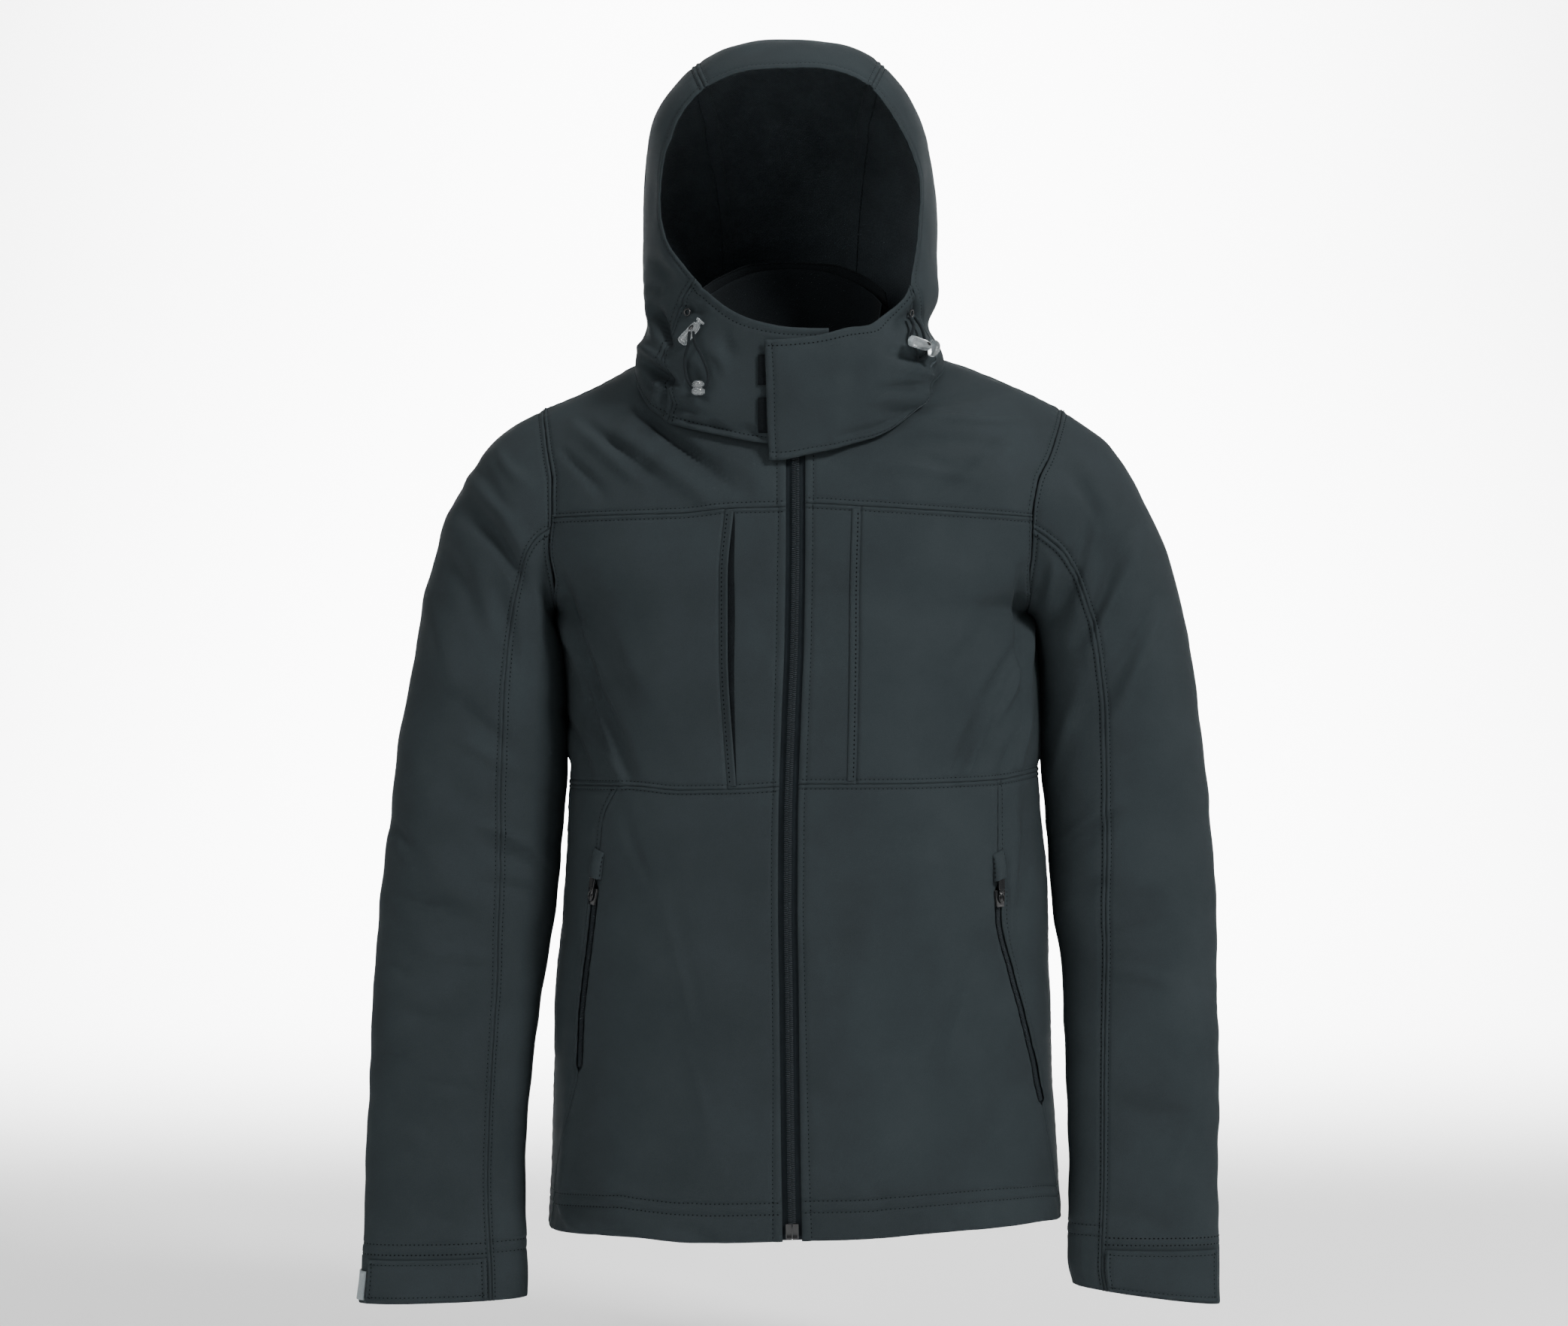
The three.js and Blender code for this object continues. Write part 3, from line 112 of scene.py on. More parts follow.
# Body cloth, from the same sizes as the solids, in millimetres
body = {
    # height, half width to the wearer's right and left, depth to front and back
    "rows": [
        (-704, 198.5, 222, 126, 120), (-650, 197, 220, 128, 119), (-577, 194, 215, 130, 117),
        (-473, 188.8, 212, 131, 113), (-418, 185.8, 210.5, 131, 112), (-366, 183.3, 206, 131, 113),
        (-317, 181, 203, 130, 116), (-257, 182.2, 201.8, 129, 119), (-231, 184.8, 199, 128, 120),
        (-214, 189, 195.5, 127, 120.5), (-200, 191, 192, 126, 121), (-188, 200, 201, 125, 121),
        (-178, 206, 206, 125, 121), (-140, 224, 224, 121, 120), (-100, 236, 244, 116, 117),
        (-70, 245, 256, 108, 112), (-35, 250, 266, 99, 106), (0, 252, 270, 92, 104), (90, 254, 274, 90, 100),
    ],
    # shoulder line: across, height
    "ridge": [
        (-260, -58), (-205, -35), (-152, -12), (-128, 2), (-90, 14), (-70, 20), (0, 24), (70, 21),
        (90, 17), (131, 5), (193, -20.5), (232, -39), (270, -58),
    ],
    # how far the hem rises or hangs from level, across
    "hemRise": [
        (-199, -1), (-150, 2.6), (-125, 2.6), (-81, 0.3), (-38, 1.2), (5, 2.4), (69, 4.4), (112, 7.2),
        (156, 8.6), (202, 9.4), (224, 6),
    ],
    "round": 110, "squareness": 2.4, "hem": -704, "levelFrom": -560, "armpit": -200, "seamForward": 12,
    "press": 5.2,
}
halfRight, halfLeft, frontDepth, backDepth = (curveOf(body["rows"], column) for column in range(1, 5))
ridgeHeight = curveOf(body["ridge"])
hemRise = curveOf(body["hemRise"])
quarter = math.pi / 2


def widest(x, height):
    return np.where(x < 0, halfRight(height), halfLeft(height))


def ridgeLength(x):
    return ridgeHeight(x) + body["round"] * (quarter - 1)


def bodyPoint(spots):
    across, down = spots[..., 0], spots[..., 1]
    share = np.sin(np.minimum(np.abs(across), 1) * quarter)
    x = np.sign(across) * share * 200
    for _ in range(6):
        height = ridgeLength(x) - np.abs(down)
        x = np.sign(across) * share * widest(across, height)
    start = ridgeHeight(x) - body["round"]
    turn = np.clip((height - start) / body["round"], 0, quarter)
    z = np.where(turn > 0, start + body["round"] * np.sin(turn), height)
    z = z + hemRise(x) * ease((body["levelFrom"] - z) / (body["levelFrom"] - body["hem"]))
    fullness = np.maximum(1 - share ** body["squareness"], 0) ** (1 / body["squareness"])
    depth = np.where(down < 0, -frontDepth(height), backDepth(height))
    return np.stack([x, depth * fullness * np.cos(turn), z], -1)


def bodySpot(x, z, face="front"):
    x, z = np.broadcast_arrays(np.asarray(x, float), np.asarray(z, float))
    start = ridgeHeight(x) - body["round"]
    rise = np.arcsin(np.clip((z - start) / body["round"], 0, 1))
    height = np.where(z < start, z, start + body["round"] * rise)
    share = np.minimum(np.abs(x) / widest(x, height), 1)
    across = np.sign(x) * np.arcsin(share) / quarter
    down = height - ridgeLength(x)
    return np.stack([across, down if face == "front" else -down], -1)


def bodyNormal(spots):
    across = spots[..., 0]
    here = bodyPoint(spots)
    step = np.where(across > 0, -0.004, 0.004)
    beside = bodyPoint(np.stack([across + step, spots[..., 1]], -1)) - here
    above = bodyPoint(spots + np.array([0, 0.5])) - bodyPoint(spots - np.array([0, 0.5]))
    return unit(np.cross(beside, above)) * np.where(across > 0, -1, 1)[..., None]


# Creases, listed for each face: from x z, to x z, width, and depth below zero or ridge above it
creases = {
    "front": [
        (-182, -172, -130, -262, 13, -4.5), (-170, -180, -118, -268, 12, 3.0),
        (-172, -262, -132, -338, 12, -3.5), (176, -170, 128, -250, 14, -4.0),
        (162, -182, 118, -262, 13, 2.5), (-96, -70, -150, -104, 13, -3.0), (92, -72, 140, -100, 13, -3.0),
        (60, -400, 40, -620, 26, 3.0), (-70, -420, -60, -640, 26, 3.0), (-196, -690, -150, -672, 12, -2.5),
        (200, -560, 150, -640, 20, -3.0), (-290, -330, -236, -372, 14, -4.0),
        (-318, -392, -262, -428, 16, 3.5), (-320, -430, -250, -458, 13, -4.0),
        (-322, -520, -262, -540, 15, -3.0), (240, -122, 262, -196, 14, -4.5),
        (300, -300, 236, -352, 15, -4.0), (330, -396, 262, -436, 16, 3.5), (330, -440, 250, -470, 13, -4.0),
        (330, -540, 262, -556, 15, -3.0),
    ],
    "back": [
        (-180, -176, -120, -268, 16, -4.5), (182, -176, 124, -262, 16, -4.5),
        (-90, -330, 80, -350, 24, -3.5), (-110, -560, -90, -690, 24, 3.0), (90, -540, 105, -690, 24, 3.0),
        (-236, -118, -214, -190, 14, -5.0), (-310, -372, -240, -410, 16, -4.0),
        (240, -118, 222, -190, 14, -5.0), (322, -372, 246, -410, 16, -4.0),
    ],
}
# Sharper creases that only the cloth here carries
fineCreases = {
    "front": [
        # fans from the armholes down the chest
        (-194, -178, -168, -262, 3.4, 5.5), (-188, -176, -158, -262, 5, -6.7),
        (-170, -248, -136, -334, 3.2, 5.1), (-164, -246, -128, -330, 4.5, -5.1),
        (-180, -230, -150, -304, 3.4, -4.6), (-166, -292, -134, -340, 3.2, 4.2),
        (-178, -196, -150, -250, 3.2, 3.2), (-184, -282, -160, -338, 4, -3.8),
        (192, -172, 194, -258, 3.2, 5.1), (186, -168, 186, -262, 4.5, -6.2),
        (190, -240, 164, -290, 3.2, 4.2), (184, -226, 150, -276, 4, -4.6), (160, -282, 136, -338, 3.2, 5.1),
        (154, -276, 128, -334, 4.5, -4.6), (194, -262, 186, -330, 3.2, 3.8),
        (180, -300, 168, -338, 3.5, -3.3),
        # yoke
        (-124, -40, -36, -106, 8, -10), (-134, -58, -62, -118, 8, 6), (-176, -52, -118, -100, 6, 3.8),
        (-168, -46, -104, -96, 6, -4.6), (-120, -44, -62, -86, 6, -5.5), (-112, -52, -40, -100, 5, 3.8),
        (108, -34, 176, -20, 5, -3.8), (96, -48, 184, -46, 5.5, 4.2), (74, -64, 170, -66, 6, -4.6),
        (60, -84, 150, -92, 6, 3.8), (176, -60, 120, -108, 6, -3.8), (-184, -70, -150, -110, 5, -3.8),
        # lower fronts and the hem
        (-104, -412, -76, -540, 6, 0.7), (-98, -410, -70, -536, 7, -0.8), (-80, -548, -62, -640, 7, 1.2),
        (-140, -352, -112, -420, 5, -1.2), (-186, -470, -192, -560, 6, 3.5),
        (-178, -590, -186, -680, 7, 3.5), (182, -350, 176, -460, 5, 3.8), (190, -348, 186, -440, 6, -4.2),
        (152, -470, 112, -590, 6, 1.4), (146, -462, 104, -580, 7, -1.4), (110, -352, 90, -400, 6, -1.2),
        (60, -656, 92, -700, 6, -1.2), (-150, -694, -120, -702, 6, -2), (-96, -690, -60, -702, 5, -1.6),
        (-190, -684, -164, -702, 5, 3.5), (120, -684, 150, -702, 5, -1.4),
        # right sleeve: the fold that leaves the armhole, then the elbow and the lower arm
        (-264, -88, -206, -160, 8, 4.4), (-266, -108, -210, -184, 12, -7.5),
        (-262, -84, -226, -118, 7, -4), (-240, -70, -214, -100, 6, 3.3), (-282, -150, -250, -214, 9, -4.9),
        (-236, -170, -222, -250, 9, -4.9), (-210, -170, -200, -240, 6, 4.4),
        (-300, -180, -272, -262, 10, 4), (-276, -270, -226, -312, 7, -3.1),
        (-270, -302, -216, -336, 5, 2.8), (-330, -372, -300, -400, 8, -2.6),
        (-250, -372, -204, -396, 6, 3.5), (-254, -386, -202, -412, 6, -4.1),
        (-306, -470, -240, -486, 8, 2.6), (-248, -420, -208, -430, 5, -2.9),
        (-330, -488, -300, -500, 8, -2.2), (-300, -580, -246, -594, 9, -2.4),
        (-330, -620, -280, -640, 10, 2.2), (-300, -690, -250, -704, 8, -2.2),
        (-340, -556, -310, -566, 8, -1.7),
        # left sleeve
        (226, -84, 252, -134, 6, -4.9), (252, -116, 226, -176, 6, 4.7), (244, -130, 214, -206, 8, -8.3),
        (286, -140, 240, -232, 8, 4.9), (276, -140, 232, -226, 9, -6), (212, -160, 208, -200, 4, 4.9),
        (306, -196, 256, -290, 9, 4), (296, -190, 244, -286, 10, -4.4), (232, -262, 216, -330, 6, 3.1),
        (262, -366, 222, -398, 6, -3.8), (268, -352, 222, -384, 5, 3.2), (322, -356, 346, -380, 8, -2.2),
        (256, -420, 226, -436, 5, -2.9), (262, -492, 322, -506, 8, 2.6), (330, -500, 350, -516, 8, -1.9),
        (252, -596, 318, -612, 9, -2.4), (340, -618, 300, -650, 10, 2.2), (262, -690, 320, -706, 8, -2.2),
    ],
    "back": [
        # back and the backs of the sleeves
        (-186, -180, -150, -262, 5, 4.9), (-176, -176, -140, -262, 6, -5.5),
        (188, -180, 152, -262, 5, 4.9), (178, -176, 142, -262, 6, -5.2), (-170, -262, -122, -334, 4, 3.8),
        (172, -262, 124, -330, 4, 3.8), (-150, -60, -96, -100, 7, -3.8), (152, -60, 98, -104, 7, -3.8),
        (-40, -40, -20, -150, 12, 3.2), (46, -46, 24, -160, 12, 3.2), (-160, -300, -60, -372, 9, -4.9),
        (170, -300, 70, -366, 9, -4.9), (-150, -316, -50, -388, 7, 3.5), (160, -316, 60, -382, 7, 3.5),
        (-60, -420, 70, -436, 12, 2.4), (-20, -560, -30, -690, 14, -2.4), (150, -470, 170, -690, 14, -2.4),
        (-150, -480, -160, -690, 14, 2.4), (-250, -150, -224, -216, 7, -5.5),
        (256, -150, 230, -216, 7, -5.5), (-290, -170, -250, -260, 9, 3.6), (296, -170, 256, -260, 9, 3.6),
        (-320, -400, -240, -432, 8, 3.7), (330, -400, 250, -436, 8, 3.7), (-330, -450, -240, -472, 8, -4.1),
        (338, -450, 246, -476, 8, -4.1), (-300, -600, -250, -620, 9, -2.9), (300, -600, 250, -622, 9, -2.9),
    ],
}


def foldHeight(points, back, *tables):
    height = np.zeros(points.shape[:-1])
    x, z = points[..., 0], points[..., 2]
    faces = [(table[face], here) for table in tables for face, here in (("front", ~back), ("back", back))]
    for here, (x1, z1, x2, z2, width, depth) in ((here, row) for rows, here in faces for row in rows):
        runX, runZ = x2 - x1, z2 - z1
        t = np.clip(((x - x1) * runX + (z - z1) * runZ) / (runX ** 2 + runZ ** 2), 0, 1)
        # a crease wanders and changes width along its run
        sway = width * 0.22 * np.sin(5.1 * t + x1 * 0.37)
        away = np.hypot(x - x1 - runX * t, z - z1 - runZ * t)
        side = np.sign((x - x1) * runZ - (z - z1) * runX)
        wide = width * (0.85 + 0.3 * np.sin(3.1 * t + z1 * 0.21))
        shape = np.exp(-(((away * side - sway) / wide) ** 2)) * (0.35 + 0.65 * np.sin(math.pi * t))
        shape *= np.exp(-np.maximum(away - 1.6 * width, 0) / (0.5 * width))
        height += np.where(here, depth * shape, 0)
    return height


# The low unevenness of hanging cloth
def ripple(points):
    x, y, z = points[..., 0], points[..., 1], points[..., 2]
    broad = np.sin(x * 0.047 + 1.7 * np.sin(z * 0.019)) * np.sin(z * 0.031 + 0.013 * x + 0.02 * y)
    small = np.sin(x * 0.13 - z * 0.07 + 2 * np.sin(z * 0.04)) * np.sin(z * 0.11 + y * 0.05)
    # the stiff zip puckers the cloth beside it
    beside = np.exp(-(((np.abs(x) - 17) / 8) ** 2)) * (y < -40) * (z < -60)
    zipPucker = np.sin(z * 0.083 + 2.1 * np.sin(z * 0.021 + np.sign(x))) * np.sin(z * 0.031 + 0.5 + np.sign(x))
    return 0.75 * broad + 0.22 * small + 0.85 * beside * zipPucker


def onBody(spots, lift=0.0):
    points, normals = bodyPoint(spots), bodyNormal(spots)
    back = spots[..., 1] >= 0
    height = foldHeight(points, back, creases, fineCreases) + ripple(points)
    # the arm rests against the side of the body under the armpit
    z = points[..., 2]
    press = body["press"] * np.abs(spots[..., 0]) ** 10 * ease((z + 328) / 14) * ease((-199 - z) / 11)
    return points + normals * (height + press + lift)[..., None], normals


# A patch between four edges, each an array of spots
def patch(start, finish, bottom, top):
    v = np.linspace(0, 1, len(start))[:, None, None]
    u = np.linspace(0, 1, len(bottom))[None, :, None]
    sides = mix(start[:, None], finish[:, None], u)
    ends = mix(bottom[None], top[None], v)
    corners = mix(mix(bottom[0], bottom[-1], u), mix(top[0], top[-1], u), v)
    return sides + ends - corners


# Distances of an edge's rows of stitches in mm: its kind is "", "seam", "stitch", a distance or several
def rowsOf(kind):
    if isinstance(kind, str):
        return (cloth["stitchAway"],) if kind == "stitch" else ()
    return kind if isinstance(kind, tuple) else (kind,)


def nearEdge(kind):
    if not kind:
        return np.array([0.0])
    lines = [0, 0.6, 1.3, 2.4]
    for row in rowsOf(kind):
        while row - lines[-1] > 4.5:
            lines.append(lines[-1] + 2.6)
        lines += [row - 1.1, row, row + 1.1]
    return np.unique(np.round([line for line in lines if line >= 0] + [lines[-1] + 2.4], 2))


# Where grid lines fall, as shares of a length in mm, close together beside sewn edges
def shares(length, cell=None, edges=("seam", "seam")):
    cell = cell or cloth["cell"]
    low, high = (near[near < length * 0.45] for near in (nearEdge(kind) for kind in edges))
    inner = length - low[-1] - high[-1]
    count = max(int(round(inner / cell)), 1)
    middle = low[-1] + inner * np.arange(1, count) / count
    return np.concatenate([low, middle, length - high[::-1]]) / length


# A patch grid read at the given shares of its rows and columns
def sampled(grid, rowShares, columnShares):
    rows, columns = grid.shape[:2]
    r, c = rowShares * (rows - 1), columnShares * (columns - 1)
    i, j = np.minimum(r.astype(int), rows - 2), np.minimum(c.astype(int), columns - 2)
    a, b = (r - i)[:, None, None], (c - j)[None, :, None]
    i, j = i[:, None], j[None, :]
    return (
        grid[i, j] * (1 - a) * (1 - b) + grid[i + 1, j] * a * (1 - b)
        + grid[i, j + 1] * (1 - a) * b + grid[i + 1, j + 1] * a * b
    )


def lengthsOf(points):
    return runOf(points, 0)[-1], runOf(points, 1)[-1]


# How far cloth stands out beside a sewn edge: a rolled edge, a swell, a dent along each row
def seamHeight(distance, run, rows, pucker):
    first = rows[0] if rows else 4
    height = -0.55 * np.exp(-((distance / 0.8) ** 2))
    height = height + 0.42 * np.exp(-(((distance - 0.52 * first) / (0.3 * first)) ** 2))
    for row in rows:
        height = height - 0.85 * np.exp(-(((distance - row) / 0.9) ** 2))
    wave = np.sin(run * 0.42 + 1.3 * np.sin(run * 0.11)) * np.sin(run * 0.19 + 0.7)
    return height + pucker * wave * np.exp(-((distance / (first + 5)) ** 2))


stitchLines = []


def sewnGrid(points, normals, seams, pucker=None):
    pucker = cloth["pucker"] if pucker is None else pucker
    rows, columns = runOf(points, 0), runOf(points, 1)
    height = np.zeros(points.shape[:2])
    found = []
    for edge, kind in enumerate(seams):
        if not kind:
            continue
        line, run = (rows, columns) if edge < 2 else (columns, rows)
        away = line if edge in (0, 2) else line[-1] - line
        added = seamHeight(away[:, None], run[None, :], rowsOf(kind), pucker)
        height += added if edge < 2 else added.T
        found += [(edge, int(np.argmin(np.abs(away - row)))) for row in rowsOf(kind)]
    moved = points + normals * height[..., None]
    for edge, i in found:
        stitchLines.append((moved[i], normals[i]) if edge < 2 else (moved[:, i], normals[:, i]))
    return moved


def newObject(name, points, faces, materials, uvs=None):
    mesh = bpy.data.meshes.new(name)
    mesh.from_pydata((points * mm).tolist(), [], faces)
    if uvs is not None:
        layer = mesh.uv_layers.new(name="cloth")
        if len(uvs):
            layer.data.foreach_set("uv", np.asarray(uvs, np.float32).ravel())
    mesh.polygons.foreach_set("use_smooth", [True] * len(mesh.polygons))
    for material in materials:
        mesh.materials.append(material)
    obj = bpy.data.objects.new(name, mesh)
    bpy.context.collection.objects.link(obj)
    return obj


def dress(obj, slot, *nodes):
    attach(obj, "root")
    if nodes:
        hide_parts(*nodes)
    return obj


# Cloth from a grid of points in mm: its face, which Solidify gives a wall
def clothPiece(name, points, normals, node=None, slot="softshell", thick=None, materials=None):
    rows, columns = points.shape[:2]
    index = np.arange(rows * columns).reshape(rows, columns)
    quads = np.stack([index[:-1, :-1], index[:-1, 1:], index[1:, 1:], index[1:, :-1]], -1).reshape(-1, 4)
    i, j = rows // 2, columns // 2
    if np.cross(points[i, j] - points[i, j - 1], points[i, j] - points[i - 1, j]) @ normals[i, j] < 0:
        quads = quads[:, ::-1]
    along, across = runOf(points, 0), runOf(points, 1)
    uv = np.stack(np.broadcast_arrays(across[None, :], along[:, None]), -1).reshape(-1, 2) * mm
    obj = newObject(
        name, points.reshape(-1, 3), quads.tolist(), materials or [softshell, fleece], uv[quads.reshape(-1)],
    )
    wall = obj.modifiers.new("wall", "SOLIDIFY")
    wall.thickness = (thick or cloth["thick"]) * mm
    wall.offset = -1
    if len(obj.data.materials) > 1:
        wall.material_offset = 1
    dress(obj, slot, node or name)


# Materials


def newMaterial(name):
    material = bpy.data.materials.new(name)
    material.use_nodes = True
    nodes = material.node_tree.nodes
    return material, nodes, material.node_tree.links, nodes["Principled BSDF"]


def addNode(nodes, kind, **values):
    node = nodes.new("ShaderNode" + kind)
    for key, value in values.items():
        node.inputs[key].default_value = value
    return node


def finish(nodes, links, shader, colourFrom, reliefFrom, look):
    ramp = addNode(nodes, "ValToRGB")
    for stop, key, place in zip(ramp.color_ramp.elements, ("dark", "light"), look["stops"]):
        stop.position = place
        stop.color = (*look[key], 1)
    links.new(colourFrom, ramp.inputs["Fac"])
    links.new(ramp.outputs["Color"], shader.inputs["Base Color"])
    bump = addNode(nodes, "Bump", Strength=look["bump"], Distance=look["bumpDepth"])
    links.new(reliefFrom, bump.inputs["Height"])
    links.new(bump.outputs["Normal"], shader.inputs["Normal"])
    shader.inputs["Roughness"].default_value = look["rough"]
    shader.inputs["Specular IOR Level"].default_value = look["specular"]


# Cloth: a weave on the piece's own UV, a soft mottle and a fine nap
def wovenMaterial(name, **changes):
    look = dict(wovenLook, **changes)
    material, nodes, links, shader = newMaterial(name)
    place = addNode(nodes, "TexCoord")
    both = addNode(nodes, "Math")
    both.operation = "MULTIPLY"
    for k, turn in enumerate((0, math.pi / 2)):
        mapping = addNode(nodes, "Mapping", Rotation=(0, 0, turn + look["slant"]))
        wave = addNode(nodes, "TexWave", Scale=look["threads"], Distortion=1.2, Detail=1)
        links.new(place.outputs["UV"], mapping.inputs["Vector"])
        links.new(mapping.outputs["Vector"], wave.inputs["Vector"])
        links.new(wave.outputs["Fac"], both.inputs[k])
    nap = addNode(nodes, "TexNoise", Scale=look["nap"], Detail=5)
    mottle = addNode(nodes, "TexNoise", Scale=look["mottle"], Detail=4)
    for noise in (nap, mottle):
        links.new(place.outputs["Object"], noise.inputs["Vector"])
    mixed = addNode(nodes, "Mix")
    mixed.data_type = "FLOAT"
    mixed.inputs[0].default_value = 0.45
    links.new(mottle.outputs["Fac"], mixed.inputs[2])
    links.new(nap.outputs["Fac"], mixed.inputs[3])
    total = addNode(nodes, "Math")
    total.operation = "MULTIPLY_ADD"
    total.inputs[1].default_value = look["napShare"]
    links.new(nap.outputs["Fac"], total.inputs[0])
    links.new(both.outputs[0], total.inputs[2])
    finish(nodes, links, shader, mixed.outputs[0], total.outputs[0], look)
    shader.inputs["Sheen Weight"].default_value = look["sheen"]
    shader.inputs["Sheen Roughness"].default_value = 0.55
    return material


wovenLook = {
    "stops": (0.3, 0.72), "threads": 420, "slant": 0.0, "nap": 1400, "mottle": 60, "napShare": 0.6, "bump": 0.4,
    "bumpDepth": 0.0004, "rough": 0.9, "sheen": 0.0, "specular": 0.1,
}
softshell = wovenMaterial(
    "softshell", dark=(0.0134, 0.0178, 0.0199), light=(0.0212, 0.0277, 0.0306), threads=520, nap=1500, mottle=14,
    napShare=0.8, bump=0.28, specular=0.12,
)
pile = {"threads": 260, "slant": 0.5, "nap": 900, "mottle": 30, "napShare": 1.4, "bump": 0.5, "bumpDepth": 0.0008}
fleece = wovenMaterial(
    "fleece", dark=(0.027, 0.034, 0.039), light=(0.048, 0.060, 0.067), rough=0.95, sheen=0.05, **pile,
)
# a darker copy of the fleece: painted shade on the collar's inside and the hood's lining deep in the neck
shadedFleece = wovenMaterial(
    "shadedFleece", dark=(0.0066, 0.0084, 0.0096), light=(0.0122, 0.0153, 0.0175), rough=0.95, sheen=0.02,
    specular=0.08, **pile,
)
tapeCloth = wovenMaterial(
    "zipTape", dark=(0.0068, 0.0096, 0.0116), light=(0.0114, 0.0155, 0.0184), threads=700, nap=1800, mottle=40,
)
# hook tape; its very dark cloth also serves as the painted shade inside the right chest pocket
hookTapeAndShadeCloth = wovenMaterial(
    "hookTape", dark=(0.0030, 0.0042, 0.0052), light=(0.0076, 0.0100, 0.0118), napShare=1.2, bump=0.9,
    bumpDepth=0.0008, specular=0.08,
)
greyCloth = wovenMaterial(
    "greyPatch", dark=(0.17, 0.20, 0.21), light=(0.26, 0.30, 0.315), napShare=1.2, bump=0.6, bumpDepth=0.0006,
    sheen=0.1, specular=0.2,
)
cordCloth = wovenMaterial(
    "elasticCord", dark=(0.0050, 0.0072, 0.0086), light=(0.0110, 0.0150, 0.0175), threads=600, slant=0.6, nap=1600,
    napShare=0.8, bump=0.7, bumpDepth=0.0005, rough=0.85, specular=0.14,
)
threadCloth = wovenMaterial(
    "thread", dark=(0.0010, 0.0014, 0.0017), light=(0.0022, 0.0030, 0.0036), threads=900, slant=0.6, nap=2500,
    bumpDepth=0.0003, specular=0.04,
)


def plasticMaterial(name, clear=0, **look):
    look.update(stops=(0.35, 0.7), bumpDepth=0.0002)
    material, nodes, links, shader = newMaterial(name)
    place = addNode(nodes, "TexCoord")
    grain = addNode(nodes, "TexNoise", Scale=look["grain"], Detail=4)
    links.new(place.outputs["Object"], grain.inputs["Vector"])
    finish(nodes, links, shader, grain.outputs["Fac"], grain.outputs["Fac"], look)
    shader.inputs["Transmission Weight"].default_value = clear
    shader.inputs["IOR"].default_value = 1.45
    return material


glossBlack = plasticMaterial(
    "glossBlack", dark=(0.004, 0.0045, 0.005), light=(0.008, 0.009, 0.010), grain=900, bump=0.05, rough=0.16,
    specular=0.6,
)
teethBlack = plasticMaterial(
    "zipTeeth", dark=(0.0092, 0.0126, 0.0150), light=(0.0160, 0.0214, 0.0250), grain=900, bump=0.1, rough=0.55,
    specular=0.22,
)
clearPlastic = plasticMaterial(
    "clearPlastic", dark=(0.62, 0.68, 0.70), light=(0.92, 0.95, 0.96), grain=420, bump=0.3, rough=0.1, clear=0.9,
    specular=0.5,
)
print("stage: materials")

# Seam lines on the fronts
zipMiddle = curveOf([
    (-704, 1), (-628, -0.3), (-500, -1.8), (-438, -2.7), (-371, -2.4), (-290, 0), (-220, 2.6), (-133, 3.6),
    (-40, 3.6),
])
yokeSeam = curveOf([
    (-200, -126), (-90, -124), (-45, -120), (-6, -119), (11, -116), (49, -118), (127, -122), (200, -126),
])
chestSeam = curveOf([
    (-182, -342), (-129, -341), (-91, -344), (-43, -343), (-12, -341), (8, -339), (76, -339), (160, -337),
    (200, -332),
])
neckFront = curveOf([(0, -46), (20, -45), (40, -40), (60, -27), (75, -8), (82, 12)])
neckBack = curveOf([(0, 2), (30, 3), (55, 6), (72, 11), (80, 16), (82, 18)])
sewing = {
    "hem": (23.2, 32.6), "zipRow": 6.0, "zipOpening": 7.6, "weltWidth": 7.5, "slot": 2.7, "neckHalf": 82,
    "yokeAngle": 96, "yokeEnd": 18,
}
# about where the chest seam, the yoke seam and the neck lie
level = {"chest": -341, "yoke": -120, "neck": -46}
wearers = [
    {
        "name": "right", "sign": -1, "widest": halfRight,
        "welt": curveOf([(-345, -43), (-230, -50), (-175, -50), (-118, -45)]),
        "pocket": curveOf([
            (-704, -196), (-648, -189), (-607, -178), (-569, -171), (-530, -169), (-485, -164.5), (-437, -159),
            (-394, -154), (-368, -150.5), (-341, -138),
        ]),
        "arm": curveOf([
            (-200, -191), (-178, -192), (-150, -195), (-125, -193), (-97, -193), (-75, -196.5), (-34, -203),
        ]),
        "armTop": -34, "zipTop": -423, "zipLow": -569,
    },
    {
        "name": "left", "sign": 1, "widest": halfLeft,
        "welt": curveOf([(-345, 44), (-250, 46), (-190, 46.5), (-118, 48.3)]),
        "pocket": curveOf([
            (-704, 221), (-666, 214.4), (-608, 205.7), (-573, 200), (-542, 191), (-490, 177), (-445, 166.5),
            (-394, 166), (-361, 165.7), (-338, 165.5),
        ]),
        "arm": curveOf([
            (-200, 192), (-180, 192), (-155, 194), (-124, 195), (-97, 199.5), (-75, 210), (-34, 224),
        ]),
        "armTop": -34, "zipTop": -424, "zipLow": -600,
    },
]


def armholeSpots(side, angles):
    z = mix(body["armpit"], side["armTop"], (1 + np.cos(np.radians(angles))) / 2)
    x = side["arm"](z)
    front, back = bodySpot(x, z), bodySpot(x, z, "back")
    return np.where((np.asarray(angles) <= 180)[..., None], front, back)


def shoulderSpots(x):
    across = bodySpot(x, ridgeHeight(x) - 0.6)[..., 0]
    return np.stack([across, np.full_like(across, -body["seamForward"])], -1)


def joined(*parts):
    return np.concatenate([parts[0]] + [part[1:] for part in parts[1:]])


# Spots along an edge, evenly spaced by their real distance
def resample(line, count=161, points=bodyPoint):
    run = runOf(points(line))
    return readAt(line, run, np.linspace(0, run[-1], count))


